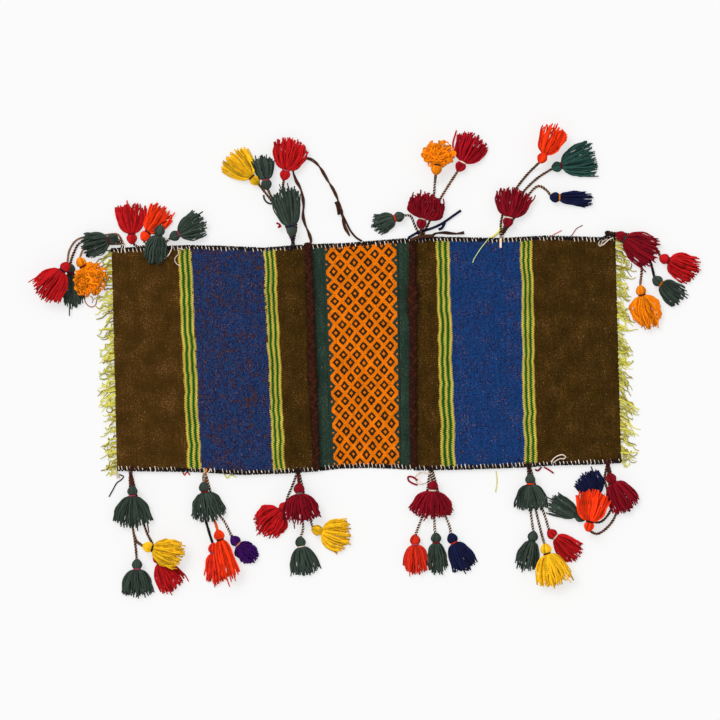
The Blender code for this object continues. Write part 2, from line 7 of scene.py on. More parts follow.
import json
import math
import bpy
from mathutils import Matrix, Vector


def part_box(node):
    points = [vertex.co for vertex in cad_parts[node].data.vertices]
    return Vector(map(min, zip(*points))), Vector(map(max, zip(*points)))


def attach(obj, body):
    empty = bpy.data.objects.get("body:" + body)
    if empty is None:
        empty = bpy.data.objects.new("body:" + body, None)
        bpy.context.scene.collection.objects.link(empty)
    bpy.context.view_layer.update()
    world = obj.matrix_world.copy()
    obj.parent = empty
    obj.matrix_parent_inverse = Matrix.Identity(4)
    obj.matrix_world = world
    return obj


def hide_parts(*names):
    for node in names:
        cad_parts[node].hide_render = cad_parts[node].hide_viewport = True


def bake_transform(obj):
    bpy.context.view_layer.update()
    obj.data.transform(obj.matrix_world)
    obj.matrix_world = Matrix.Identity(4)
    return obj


bl_info = {
    "name": "Flat-woven saddlebag",
    "version": (1, 0, 0),
    "blender": (4, 5, 0),
    "location": "3D View > Sidebar > Saddlebag",
    "description": "Dresses a two-pouch saddlebag in woven wool, with fringes and tassels",
    "category": "Object",
}

import bpy
import numpy as np
from bpy.props import (
    FloatProperty,
    FloatVectorProperty,
    IntProperty,
    PointerProperty,
)
from mathutils import Vector, noise

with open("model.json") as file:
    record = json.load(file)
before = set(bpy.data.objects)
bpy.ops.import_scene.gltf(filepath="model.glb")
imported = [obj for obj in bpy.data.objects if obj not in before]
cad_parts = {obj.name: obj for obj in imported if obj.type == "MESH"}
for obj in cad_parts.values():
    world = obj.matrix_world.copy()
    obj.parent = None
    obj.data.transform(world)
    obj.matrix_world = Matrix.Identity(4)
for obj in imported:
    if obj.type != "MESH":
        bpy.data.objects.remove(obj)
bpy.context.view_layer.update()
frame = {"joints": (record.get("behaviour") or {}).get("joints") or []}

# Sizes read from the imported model
JOINTS = {joint["name"]: joint for joint in frame["joints"]}
BRAID_LOW, BRAID_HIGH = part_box("left_mouth_braid")
HALF_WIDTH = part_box("bridge_cloth")[1].y
HALF_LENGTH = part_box("right_pouch_cloth")[1].x
POUCH_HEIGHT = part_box("left_pouch_cloth")[1].z
FOLD_X = {-1: JOINTS["left_fold"]["pos_m"][0], 1: JOINTS["right_fold"]["pos_m"][0]}
BRAID_WIDTH = BRAID_HIGH.x - BRAID_LOW.x
BRAID_SETBACK = FOLD_X[-1] - BRAID_HIGH.x
WORDS = {-1: "left", 1: "right"}

# The photograph: metres to a pixel, the pixel of the bag's middle and the picture's width
PIXEL = 0.002222
MIDDLE_PIXEL = (366.25, 354.75)
PICTURE_PIXELS = 720

# The camera's square sensor and how far it sees, the sun's two turns, the floor's grey, and how
# much of the floor's own white shows where it is seen straight
SENSOR = 36.0
SIGHT = 100.0
SUN_TURNS = (math.radians(-26), math.radians(-24))
FLOOR_GREY = 0.90
FLOOR_WHITE = 0.62

# How far the bag is turned in the photograph
LAY_TURN = math.radians(1.3)

# Sizes of the tassels and cords, as the model has them
CORD_RADIUS = 0.0033
HEAD_RADIUS = 0.0115
NECK_RADIUS = 0.0075
SKIRT_THICKNESS = 0.019
CORD_FAN = math.radians(52)
RISE_RUN = 0.022
SEAT_GAP = 0.0003
LEVELS = {
    "floor": 0.0,
    "cord": 2 * CORD_RADIUS + SEAT_GAP,
    "cloth": POUCH_HEIGHT + SEAT_GAP,
    "tassel": 2 * HEAD_RADIUS + SEAT_GAP,
}

# Every cluster: the yarns that tie it to the seam, and its tassels, each with its dye, what it
# lies on, where its cord starts, the way of its cord up to its head, its heading in degrees,
# the width and length of its skirt, the dye of the thread that binds its neck, the two plies of
# its cord, and how curly its skirt is; places, widths and lengths are the photograph's pixels
CLUSTER_PIXELS = {
    "top_1": (("black", "cream"), (
        ("upper_tassel", "green", "cord", "stem",
         ((113, 239),),
         194, 29, 26, "crimson", ("black", "cream"), 0.3),
        ("tassel_orange", "orange", "cloth", -1.7,
         ((106.3, 244.3), (93.6, 244.5), (83.8, 249), (81.6, 262.7)),
         296, 38, 30, "dark_red", ("pink", "tan"), 1.0),
        ("tassel_green", "green", "floor", -0.85,
         ((103.3, 239.7), (81.5, 242.1), (73.8, 253.1), (70.5, 269)),
         275, 24, 34, "crimson", ("pink", "black"), 0.2),
        ("tassel_red", "red", "tassel", 0,
         ((117.1, 234.3), (103.2, 235.4), (79.3, 238.6), (69.4, 250.7), (66, 267.3)),
         231, 38, 33, "navy", ("pink", "tan"), 0.3),
    )),
    "top_2": (("black", "cream"), (
        ("upper_tassel", "green", "cord", "stem",
         ((175, 236),),
         26, 33, 28, "rose", ("black", "cream"), 0.3),
        ("tassel_red", "red", "floor", -1.7,
         ((150.9, 245), (138.2, 246.8), (132, 238.6)),
         91, 36, 29, "crimson", ("black", "cream"), 0.3),
        ("tassel_scarlet", "scarlet", "floor", -0.85,
         ((154.2, 240), (146.4, 243.8), (145.5, 236)),
         53, 30, 29, "black", ("black", "cream"), 0.4),
        ("tassel_inner", "green", "cloth", "bare",
         ((160, 231),),
         257, 28, 28, "green", ("black", "cream"), 0.4),
    )),
    "top_3": (("navy", "brown"), (
        ("upper_tassel", "green", "cord", "stem",
         ((292, 231),),
         99, 33, 38, "navy", ("navy", "black"), 0.3),
        ("tassel_yellow", "yellow", "floor", -1,
         ((284.3, 222.6), (274.2, 204.9), (264.1, 191.2), (255, 180.5)),
         134, 38, 31, "dark_red", ("brown", "tan"), 0.2),
        ("tassel_green", "green", "cord", 0,
         ((289.7, 223), (280, 206.7), (271.8, 197.3), (266.6, 184.5)),
         98, 24, 23, "rose", ("brown", "tan"), 0.2),
        ("tassel_red", "red", "cord", 1,
         ((295.9, 222.6), (286.9, 201.9), (283, 189.2), (285, 175)),
         76, 40, 31, "rose", ("brown", "tan"), 0.45),
    )),
    "top_4": (("navy", "brown"), (
        ("upper_tassel", "crimson", "cord", "stem",
         ((421.4, 223.6),),
         72, 50, 25, "cream", ("brown", "tan"), 0.9),
        ("tassel_green", "green", "floor", -1,
         ((414.7, 225.3), (410.4, 216.1), (399, 217)),
         199, 24, 22, "scarlet", ("black", "cream"), 0.3),
        ("tassel_orange", "orange", "tassel", 0,
         ((426.1, 218.5), (433.2, 198.6), (434.7, 183.7), (436.3, 169.8)),
         80, 34, 22, "black", ("black", "cream"), 1.0),
        ("tassel_red", "crimson_bright", "floor", 1,
         ((430.2, 220.2), (439.2, 200.9), (448.3, 185.7), (460.4, 166.4)),
         60, 40, 29, "cream", ("brown", "tan"), 0.4),
    )),
    "top_5": (("brown", "cream"), (
        ("upper_tassel", "crimson", "cord", "stem",
         ((507.7, 222.1),),
         75, 42, 28, "cream", ("brown", "black"), 0.4),
        ("tassel_scarlet", "scarlet", "tassel", -1,
         ((502.5, 215.1), (513.5, 192.7), (526.6, 175.2), (541.6, 158.7)),
         61, 29, 30, "scarlet", ("brown", "tan"), 0.45),
        ("tassel_green", "teal", "floor", 0,
         ((508.5, 217.1), (519.6, 196.6), (535.7, 179.5), (556.8, 167)),
         14, 41, 34, "crimson", ("brown", "tan"), 0.3),
        ("tassel_navy", "navy", "floor", 1,
         ((513.6, 218.8), (524.7, 200), (536.8, 186.6), (545.9, 189.8), (555, 197.5)),
         355, 18, 33, "orange", ("brown", "tan"), 0.2),
    )),
    "top_6": (("brown", "black"), (
        ("upper_tassel", "crimson", "cord", "stem",
         ((620.6, 236.4),),
         328, 38, 36, "teal", ("brown", "black"), 0.4),
        ("tassel_red", "red", "floor", 0,
         ((613, 233), (622, 233.5), (636, 236), (651.7, 243.5), (664.2, 259)),
         336, 34, 31, "crimson", ("black", "pink"), 0.5),
        ("tassel_green", "green", "floor", 0.85,
         ((614.5, 235.5), (628, 239), (641, 247), (650.2, 262), (657.3, 281)),
         320, 27, 26, "orange", ("black", "black"), 0.3),
        ("tassel_orange", "orange", "cord", 1.7,
         ((613.5, 238), (624, 243), (636, 252), (641.5, 267.2), (640.5, 291)),
         283, 42, 33, "dark_red", ("pink", "black"), 0.8),
    )),
    "bottom_1": (("brown", "dark_red"), (
        ("upper_tassel", "green", "cord", "stem",
         ((132.7, 491),),
         269, 44, 30, "rose", ("brown", "dark_red"), 0.3),
        ("tassel_pair", "green", "floor", -1,
         ((131.1, 513.6), (135.1, 542), (137.2, 564.4)),
         270, 36, 27, "rose", ("brown", "tan"), 0.3),
        ("tassel_red", "red", "floor", 1,
         ((141, 514), (147, 532.8), (153, 544.7), (158, 558)),
         297, 34, 30, "crimson", ("brown", "tan"), 0.3),
    )),
    "bottom_2": (("cream", "orange", "black"), (
        ("upper_tassel", "green", "cord", "stem",
         ((204.2, 487.2),),
         279, 38, 29, "crimson", ("cream", "black"), 0.4),
        ("tassel_red", "scarlet_deep", "floor", -1,
         ((204.1, 510.4), (208.9, 531.4), (213.7, 548.4)),
         273, 25, 30, "rose", ("black", "black"), 0.2),
        ("tassel_scarlet", "scarlet", "tassel", 0,
         ((209.3, 508.5), (214.8, 521.5), (219.5, 535)),
         284, 23, 39, "black", ("orange", "scarlet"), 0.2),
        ("tassel_purple", "purple", "floor", 1,
         ((215.7, 508.6), (224.5, 521.7), (235.4, 540.8)),
         313, 27, 23, "pink", ("brown", "cream"), 0.7),
    )),
    "bottom_3": (("black", "brown"), (
        ("upper_tassel", "crimson", "tassel", "stem",
         ((299.3, 488.5),),
         273, 46, 28, "grey", ("black", "crimson"), 0.5),
        ("tassel_red", "red", "floor", -1,
         ((291.9, 486.9), (287.7, 496.5), (284, 507)),
         226, 43, 29, "crimson", ("black", "cream"), 0.6),
        ("tassel_green", "green", "floor", 0,
         ((301.1, 506.9), (303.1, 527.5), (300.6, 542)),
         279, 33, 28, "cream", ("black", "cream"), 0.3),
        ("tassel_yellow", "yellow", "floor", 1,
         ((307.1, 506.9), (311.2, 522.5), (317.2, 530)),
         344, 40, 28, "yellow", ("black", "cream"), 0.4),
    )),
    "bottom_4": (("black", "brown"), (
        ("upper_tassel", "crimson", "cord", "stem",
         ((432.9, 485.9),),
         265, 49, 27, "cream", ("brown", "cream"), 0.4),
        ("tassel_scarlet", "scarlet_deep", "floor", -1,
         ((424.4, 508.4), (417.7, 528.4), (415, 540)),
         272, 29, 28, "rose", ("brown", "cream"), 0.2),
        ("tassel_green", "green", "floor", 0,
         ((433.9, 508.4), (434.6, 528.4), (435.9, 538)),
         272, 24, 31, "crimson", ("brown", "cream"), 0.3),
        ("tassel_navy", "navy", "floor", 1,
         ((442.8, 508.4), (449.5, 526.4), (452.2, 538.5)),
         293, 30, 29, "scarlet", ("brown", "cream"), 0.3),
    )),
    "bottom_5": (("brown", "black"), (
        ("upper_tassel", "green", "cord", "stem",
         ((530, 479.3),),
         271, 38, 26, "scarlet", ("brown", "black"), 0.3),
        ("tassel_green", "green", "floor", -1,
         ((529.5, 501.2), (531.8, 521.3), (532.7, 536.4)),
         256, 26, 28, "green", ("brown", "cream"), 0.3),
        ("tassel_yellow", "yellow", "tassel", 0,
         ((534.6, 504), (539, 523.9), (542.5, 537.8), (545.4, 548.7)),
         284, 40, 32, "dark_red", ("brown", "cream"), 0.3),
        ("tassel_red", "red", "floor", 1,
         ((539.9, 501), (545.7, 519), (552, 533.9)),
         317, 29, 30, "cream", ("brown", "cream"), 0.3),
    )),
    "bottom_6": (("brown", "dark_red"), (
        ("upper_tassel", "crimson", "cord", "stem",
         ((610.7, 478.3),),
         298, 35, 31, "crimson", ("brown", "black"), 0.3),
        ("tassel_navy", "navy", "floor", -1,
         ((604.5, 479.4), (606.9, 489), (606.6, 497), (600, 499)),
         122, 34, 25, "navy", ("brown", "tan"), 0.4),
        ("tassel_green", "green", "floor", 0,
         ((609.8, 494.2), (610.9, 509.2), (599.9, 522.1), (580, 517)),
         150, 26, 29, "green", ("brown", "tan"), 0.3),
        ("tassel_scarlet", "scarlet", "tassel", 1,
         ((615.6, 494.2), (616.6, 511.1), (609.5, 525), (597.4, 533.8), (588.3, 525.7)),
         79, 38, 31, "black", ("brown", "tan"), 0.3),
    )),
}

# The yellow tassel on a branch of the green one's cord, in the first bottom cluster
BRANCH_PLACE = "bottom_1"
BRANCH_PIXELS = (
    "branch_tassel", "yellow", "tassel", "branch",
    ((134.5, 535.5), (136.9, 541.4), (143.6, 545.4), (148.7, 546.5)),
    342, 37, 30, "black", ("brown", "tan"), 0.6)

# The closing cords: the place along the top seam that each leaves, in metres, and its way from
# there, in metres, on the floor
LEFT_CLOSING_X = -0.11704
LEFT_CLOSING_WAY = (
    (-0.0044, 0.0156), (-0.0167, 0.0489), (-0.0167, 0.0844), (-0.0222, 0.1133),
    (-0.0333, 0.1355), (-0.0400, 0.1578), (-0.0333, 0.1740), (-0.0111, 0.1830),
    (0.0067, 0.1770), (0.0222, 0.1600), (0.0378, 0.1333), (0.0533, 0.1067),
    (0.0667, 0.0690), (0.0720, 0.0420), (0.0770, 0.0270), (0.0860, 0.0110),
)
RIGHT_CLOSING_X = 0.14784
RIGHT_CLOSING_WAY = ((0.0111, 0.0100), (0.0311, 0.0122), (0.0556, 0.0100), (0.0755, 0.0122))

# How far the cloth's long edges stand out from straight, in pixels, along the photograph's x
TOP_EDGE_PIXELS = (
    (111.5, -1.9), (190, -0.65), (230, -2.4), (265, -5.0), (310, -2.4), (345, -2.2),
    (400, 1.1), (430, 2.4), (500, -0.7), (545, 0.8), (600, -1.95), (618, -2.4),
)
BOTTOM_EDGE_PIXELS = (
    (114, -3.8), (190, -1.1), (240, 3.0), (285, 2.5), (315, 1.2), (340, -1.2), (370, -1.1),
    (400, 0.6), (420, 2.6), (470, 2.7), (525, 1.95), (555, 0.6), (600, 0.65), (621, -0.4),
)
# How far each place along the cloth leans, top edge against bottom edge, in metres along X
LEAN_PLACES = (
    (-0.560, -0.001), (-0.409, -0.012), (-0.377, -0.012), (-0.220, -0.009), (-0.190, -0.010),
    (-0.120, -0.007), (-0.086, -0.009), (0.0, -0.002), (0.073, 0.0050), (0.100, 0.010),
    (0.117, 0.006), (0.162, 0.0), (0.190, -0.003), (0.347, 0.002), (0.373, 0.0), (0.560, -0.002),
)

# The stripes of one group: the dye of each and the share of the group at which it ends
STRIPE_GROUP_SHARES = (
    ("stripe_yellow", 0.16), ("stripe_green", 0.42), ("stripe_yellow", 0.57),
    ("stripe_green", 0.83), ("stripe_yellow", 1.0),
)
# The woven bands: the X at which each ends, from the left, and its dye
LEFT_BANDS = (
    (-0.4066, "brown_outer"), (-0.3780, "stripes"), (-0.2178, "blue_left"),
    (-0.1916, "stripes"), (-0.1155, "brown_ground"), (0.0, "green_ground"),
)
RIGHT_BANDS = (
    (0.1040, "green_ground"), (0.1616, "brown_ground"), (0.1906, "stripes"),
    (0.3470, "blue_right"), (0.3728, "stripes"), (0.600, "brown_ground"),
)
# The brocaded diamonds: the X of their band's middle, the distance from one to the next across
# and along the band, and how many stand side by side
DIAMOND_MIDDLE_X = -0.0065
DIAMOND_PITCH = (0.0298, 0.0344)
DIAMOND_COLUMNS = 5
# Where a diamond's orange edge begins and its orange heart ends, from 0 in its middle to 0.5
DIAMOND_EDGE_SHARE = 0.342
DIAMOND_HEART_SHARE = 0.125
# Where the brocaded middle of the bridge meets the plain borders, to the left and the right
BRIDGE_SEAM_X = {-1: -0.0880, 1: 0.0750}

# Stray light fibres are more common to the left of this X, and by how much
STRAY_BEYOND = -0.4066
STRAY_RISE = 0.045
# The two X places between which the blue is mottled with rust brown
MOTTLED_PLACES = (-0.380, -0.216)
# Where the fuzz of each mouth braid swells: place along Y and how much
BRAID_LUMPS = {
    -1: ((-0.252, 0.0), (-0.10, 0.1), (-0.05, 0.5), (0.02, 0.1), (0.15, 0.2), (0.252, 0.0)),
    1: ((-0.252, 0.0), (0.02, 0.2), (0.08, 0.3), (0.105, 1.0), (0.135, 0.9), (0.16, 0.1),
        (0.252, 0.1)),
}
# How far each braid's middle stands from its setback, in braid widths, and its hairs
BRAID_SHIFTS = {-1: 0.42, 1: -0.04}
BRAID_HAIRS = 2600
# How full the thinnest tuft of a fringe is, and the share of its yarns that are olive
TUFT_LEAST = 0.35
OLIVE_SHARE = 0.2
# The overcast yarns of one pitch: dye, place as a share of the pitch, reach and radius as shares
# of the common ones, and slant as a share of the pitch
OVERCAST_YARNS = (
    ("black", -0.36, 0.85, 1.25, 0.5), ("black", -0.12, 0.70, 1.15, 0.5),
    ("black", 0.14, 0.80, 1.25, 0.5), ("black", 0.38, 0.70, 1.15, 0.5),
    ("cream", 0.0, 1.05, 0.82, -0.42),
)
# The shares of overcast stitches that are missing, for the cream yarn and the black
CREAM_GAPS = 0.08
BLACK_GAPS = 0.04
# A cluster's knot: its radius, the radius of its yarn and its windings
KNOT_RADIUS = 0.0042
KNOT_YARN = 0.0011
KNOT_TURNS = 7
# The yarns that tie a cluster through the edge: their radius, number and distance
TIE_YARN = 0.0012
TIE_COUNT = 4
TIE_PITCH = 0.0032
# One round of the closing cords' two strands, and their radius as a share of a cord's
CLOSING_PITCH = 0.085
CLOSING_STRAND = 0.56

# Loose yarns that lie about: their dye, thickness in pixels, the level they lie on, the body
# they ride on and their way, in the photograph's pixels
LOOSE_YARN_PIXELS = (
    ("cream", 1.1, "cloth", "left_pouch",
     ((151, 244), (160, 238), (169, 240), (172, 248), (167, 257), (159, 260.4))),
    ("cream", 0.9, "cloth", "left_pouch",
     ((184.2, 250), (178, 248.4), (178.8, 253.5), (175, 258.9), (176.5, 263.5), (181.1, 266.5))),
    ("black", 1.5, "floor", "left_pouch",
     ((119.3, 474.5), (123.5, 476.5), (121, 480), (116.8, 483), (113, 489.7), (109, 496.8))),
    ("cream", 3.2, "floor", "left_pouch", ((114.5, 472), (117.5, 475), (119, 478))),
    ("navy", 3.6, "floor", "top_1", ((86, 256), (92, 254), (99, 250))),
    ("pink", 1.3, "floor", "top_1",
     ((85, 293), (84.6, 299), (87, 304.5), (91.5, 307), (95.5, 305), (97, 300), (99.5, 297))),
    ("pink", 1.1, "floor", "top_1", ((90.5, 296), (93, 299), (92.2, 303))),
    ("dark_red", 3.4, "floor", "top_1", ((99, 251), (104, 248), (109, 245))),
    ("cream", 1.2, "floor", "bottom_4",
     ((428, 473), (420, 473), (415, 478), (419, 484), (427, 482), (429, 476))),
    ("crimson", 2.2, "floor", "bottom_4",
     ((417.5, 485), (413, 483.5), (408.6, 480.5), (408.4, 476.8), (413, 477.2), (417.5, 480.5))),
    ("cream", 1.2, "cord", "bottom_4",
     ((430.5, 474), (426, 472.6), (421, 473.2), (417.5, 477), (420, 481.5), (423, 485))),
    ("lime", 1.2, "floor", "right_pouch",
     ((496, 471), (497, 480.8), (495.6, 492))),
    ("scarlet", 1.0, "floor", "right_pouch",
     ((548, 239), (553.2, 235), (561.7, 230.5))),
    ("crimson", 1.0, "floor", "right_pouch",
     ((568, 238), (572, 235), (576.4, 228.8), (582.7, 225.2))),
    ("lime", 2.4, "floor", "right_pouch", ((501.5, 224), (499.5, 231), (494, 236), (489, 239))),
    ("pale_green", 1.1, "cloth", "right_pouch",
     ((489, 238), (485, 243), (481, 248), (477, 254), (474, 259), (472.5, 263))),
    ("cream", 2.6, "cloth", "right_pouch", ((500.6, 238.5), (500.5, 243), (500.5, 248))),
    ("navy", 3.0, "floor", "right_pouch",
     ((408, 238), (419, 232), (430, 229), (441.3, 224), (453, 216), (461, 210.4))),
    ("brown", 3.9, "cloth", "right_pouch",
     ((411, 240.5), (416, 238), (424, 236.4), (434, 236))),
    ("red", 2.0, "floor", "right_pouch", ((544, 467), (549, 470), (553.6, 473.2))),
    ("crimson", 2.2, "floor", "right_pouch", ((535, 469.5), (538, 470.5), (541.5, 467))),
    ("cream", 1.4, "cloth", "right_pouch",
     ((551.5, 462), (553, 459), (557, 456), (562, 454.6), (565.5, 457), (563, 459))),
    ("cream", 1.3, "cloth", "right_pouch",
     ((553, 463), (556, 460.5), (560, 458.6), (564, 458.8))),
    ("cream", 1.5, "cloth", "right_pouch",
     ((612, 235), (606, 236), (600, 240), (598.5, 244.5), (600.5, 246), (602, 242), (607, 239))),
    ("black", 1.9, "cloth", "right_pouch", ((616, 235), (608, 235.5), (602, 238), (597, 242))),
    ("cream", 1.3, "cloth", "right_pouch", ((613, 238), (609, 239.5), (605, 243), (602, 245.5))),
    ("brown", 3.4, "cord", "top_3", ((335.6, 202), (337, 205), (338, 209), (339, 215))),
    ("brown", 2.4, "floor", "top_3",
     ((341, 212), (346, 222), (350.6, 231), (356.2, 237.6), (362, 241.2))),
    ("red", 2.2, "cloth", "top_3", ((276.5, 223), (280, 225), (278.5, 227.5), (281.5, 226))),
    ("green", 2.2, "floor", "top_3", ((263.5, 195), (264.6, 199.5), (268, 203), (273, 204))),
    ("navy", 3.2, "floor", "right_pouch", ((438.5, 229.5), (442, 228), (445, 222.5))),
    ("scarlet", 1.6, "floor", "left_pouch",
     ((182, 470), (184.5, 475), (187, 472), (190, 475))),
    ("lime", 1.5, "floor", "left_pouch",
     ((224, 473), (227, 478), (231, 475), (236, 477))),
)

# How far along a yarn its plies turn once
YARN_TWIST = 0.0045
# How wool shines, spun and woven: its roughness, sheen and gloss
YARN_FINISH = (0.92, 0.02, 0.09)
WOVEN_FINISH = (0.95, 0.01, 0.06)
# Where flecks of the other yarn begin, how flecked a band with stray fibres is, where single tan
# picks begin, and how flecked the brocaded middle is
FLECK_START = 0.80
SPARK_FLECKS = 0.18
SPECK_START = 0.9990
BRIDGE_FLECKS = 0.12
# Over which width a pouch's front drops toward its seams and its mouth, and how far
SEAM_DROP = (0.030, 0.0016)
MOUTH_DROP = (0.060, 0.0008)
# How far a braid's strands swing, how wide its hairs stand and how far they reach
BRAID_SWING = 0.0042
HAIR_SPREAD = 0.013
HAIR_REACH = 0.014
# How far a fringe's roots reach under the folded end
FRINGE_ROOT = 0.0025
# The width of a skirt with the common number of yarns, the share of its yarns that stray, and
# how many times as many yarns a pompom has
COMMON_SKIRT = 0.075
STRAY_SHARE = 0.09
POMPOM_YARNS = 2.4
# The share of a turn from one pompom yarn to the next
GOLDEN_TURN = 0.618
# How far a binding stands back from the neck, and where a cord enters a head, in its radii
BINDING_SETBACK = 0.0014
HEAD_ENTRY = 0.7

# The names of the places and tones that the materials read from the meshes
WEAVE_ATTRIBUTE = "weave_place"
TONE_ATTRIBUTE = "yarn_tone"
WAY_ATTRIBUTE = "yarn_way"


def linear(code):
    """A web colour as Blender's linear red, green and blue."""
    shares = [int(code[i:i + 2], 16) / 255 for i in (1, 3, 5)]
    return tuple(s / 12.92 if s <= 0.04045 else ((s + 0.055) / 1.055) ** 2.4 for s in shares)


def dye(name, code):
    """A colour setting of one dye."""
    return FloatVectorProperty(
        name=name, description=f"Colour of the {name.lower()} wool",
        subtype="COLOR", size=3, min=0.0, max=1.0, default=linear(code),
    )


def length(name, description, default):
    """A length setting in metres."""
    return FloatProperty(
        name=name, description=description, default=default,
        min=0.0, precision=5, unit="LENGTH",
    )


class SaddlebagDyes(bpy.types.PropertyGroup):
    """The wool's colours."""

    green: dye("Dark green", "#3a473e")
    teal: dye("Teal", "#2b4e46")
    crimson: dye("Crimson", "#8a0a1c")
    crimson_bright: dye("Bright crimson", "#b00f20")
    red: dye("Red", "#c0161a")
    scarlet: dye("Scarlet", "#fb3c10")
    scarlet_deep: dye("Deep scarlet", "#e2301a")
    orange: dye("Orange", "#fb8c06")
    yellow: dye("Yellow", "#f8bf1c")
    navy: dye("Navy", "#151b40")
    purple: dye("Purple", "#400e66")
    rose: dye("Rose", "#b0445a")
    pink: dye("Tan pink", "#bf8468")
    cream: dye("Cream", "#f0dcc8")
    grey: dye("Grey", "#6f6a66")
    black: dye("Black", "#181416")
    brown: dye("Cord brown", "#44271a")
    dark_red: dye("Dark red", "#5a1418")
    tan: dye("Tan", "#ad8462")
    pale_green: dye("Pale green", "#b7c795")
    spark: dye("Stray fibre", "#7c5534")
    braid: dye("Braid brown", "#3a190b")
    lime: dye("Yellow green", "#d9d35a")
    olive: dye("Olive", "#a5922f")
    brown_ground: dye("Ground brown", "#3a2704")
    brown_outer: dye("Outer brown", "#472f08")
    brown_fleck: dye("Brown fleck", "#573b14")
    blue_left: dye("Left blue", "#29497c")
    rust: dye("Rust brown", "#5c3a1e")
    blue_right: dye("Right blue", "#194988")
    blue_fleck: dye("Blue fleck", "#1b2148")
    stripe_yellow: dye("Stripe yellow", "#e2c84e")
    stripe_green: dye("Stripe green", "#1b5c1c")
    green_ground: dye("Ground green", "#273b31")
    green_fleck: dye("Green fleck", "#4c5a48")
    diamond: dye("Diamond orange", "#ff8004")
    diamond_ring: dye("Diamond ring", "#33230f")


class SaddlebagCloth(bpy.types.PropertyGroup):
    """Sizes of the woven cloth, its seams, braids and fringes."""

    thickness: length("Thickness", "Thickness of the woven cloth", 0.0022)
    underside: length("Underside", "Height of the cloth's underside over the floor", 0.0008)
    grid: length("Grid", "Distance between the mesh's points across the cloth", 0.0036)
    wave: length("Wave", "Height of the slow waves in the pouch fronts", 0.0012)
    warp: length("Warp", "Distance between two warps", 0.0020)
    weft: length("Weft", "Distance between two wefts", 0.00125)
    tooth: length("Tooth", "How far a band's edge steps from warp to warp", 0.0024)
    stitch_pitch: length("Stitch pitch", "Distance between two cream overcast stitches", 0.0088)
    stitch_reach: length("Stitch reach", "How far an overcast stitch reaches in", 0.0078)
    stitch_radius: length("Stitch radius", "Radius of the overcast yarn", 0.0012)
    braid_pitch: length("Braid pitch", "Length of one round of the mouth braid", 0.030)
    braid_radius: length("Braid radius", "Radius of a strand of the mouth braid", 0.0031)
    fringe_radius: length("Fringe radius", "Radius of a fringe yarn", 0.00165)
    fringe_yarns: IntProperty(
        name="Fringe yarns", description="Yarns in the fringe of one end", default=215, min=1)
    fringe_tufts: IntProperty(
        name="Fringe tufts", description="Tufts that a fringe hangs in", default=38, min=1)


class SaddlebagTassels(bpy.types.PropertyGroup):
    """Sizes of the tassels and of the cords they hang from."""

    yarn_radius: length("Yarn radius", "Radius of a skirt yarn", 0.00205)
    thread_radius: length("Thread radius", "Radius of the thread that binds a neck", 0.00085)
    skirt_yarns: IntProperty(
        name="Skirt yarns", description="Yarns in a skirt of common width", default=60, min=1)
    skirt_spread: FloatProperty(
        name="Skirt spread", description="How late a skirt opens on its way from the neck",
        default=0.56, min=0.2, max=2.0)
    binding_turns: IntProperty(
        name="Binding turns", description="Turns of thread round a neck", default=2, min=1)
    head_yarns: IntProperty(
        name="Head yarns", description="Yarns over the head of one tassel", default=14, min=3)
    ply_radius: length("Ply radius", "Radius of one of the two plies of a cord", 0.0016)
    ply_pitch: length("Ply pitch", "Length of one turn of a ply", 0.0062)


class SaddlebagStage(bpy.types.PropertyGroup):
    """The camera, the floor and the light."""

    camera_height: length("Camera height", "Height of the camera over the floor", 12.0)
    floor_size: length("Floor size", "Width and length of the floor", 7.0)
    sun_strength: FloatProperty(
        name="Sun strength", description="Strength of the soft sun", default=1.5, min=0.0)
    sun_angle: FloatProperty(
        name="Sun angle", description="How wide the soft sun is",
        default=math.radians(35), subtype="ANGLE")
    world_strength: FloatProperty(
        name="World strength", description="Strength of the light all round", default=0.62, min=0.0)


# Helpers for places

def bag_place(pixel):
    """The flat place in metres, in the bag's own frame, of a pixel of the photograph."""
    x = (pixel[0] - MIDDLE_PIXEL[0]) * PIXEL
    y = (MIDDLE_PIXEL[1] - pixel[1]) * PIXEL
    turn_cos, turn_sin = math.cos(LAY_TURN), math.sin(LAY_TURN)
    return np.array((x * turn_cos + y * turn_sin, y * turn_cos - x * turn_sin))


def edge_table(rows, side):
    """The X places and the outward bulge of a long edge, in metres."""
    y = side * HALF_WIDTH / PIXEL
    places = [bag_place((px, MIDDLE_PIXEL[1] - y))[0] for px, _ in rows]
    return np.array(places), np.array([out * PIXEL for _, out in rows])


EDGE_TABLES = {1: edge_table(TOP_EDGE_PIXELS, 1), -1: edge_table(BOTTOM_EDGE_PIXELS, -1)}
LEAN_TABLE = np.array(LEAN_PLACES)


def edge_bulge(x, side):
    """How far a long edge stands out at X."""
    places, bulges = EDGE_TABLES[side]
    return np.interp(x, places, bulges)


def lean(x):
    """How far the cloth's top edge stands to the right of its bottom edge at X."""
    return np.interp(x, LEAN_TABLE[:, 0], LEAN_TABLE[:, 1])


def edge_point(x, side):
    """The place on a long edge of the cloth that belongs to X along the middle."""
    return x + side * lean(x) / 2, side * (HALF_WIDTH + edge_bulge(x, side))


def unit(degrees):
    """The flat direction at an angle from +X."""
    angle = math.radians(degrees)
    return np.array((math.cos(angle), math.sin(angle)))


def smooth_step(share):
    """An even rise from 0 to 1."""
    held = np.clip(share, 0.0, 1.0)
    return held * held * (3 - 2 * held)


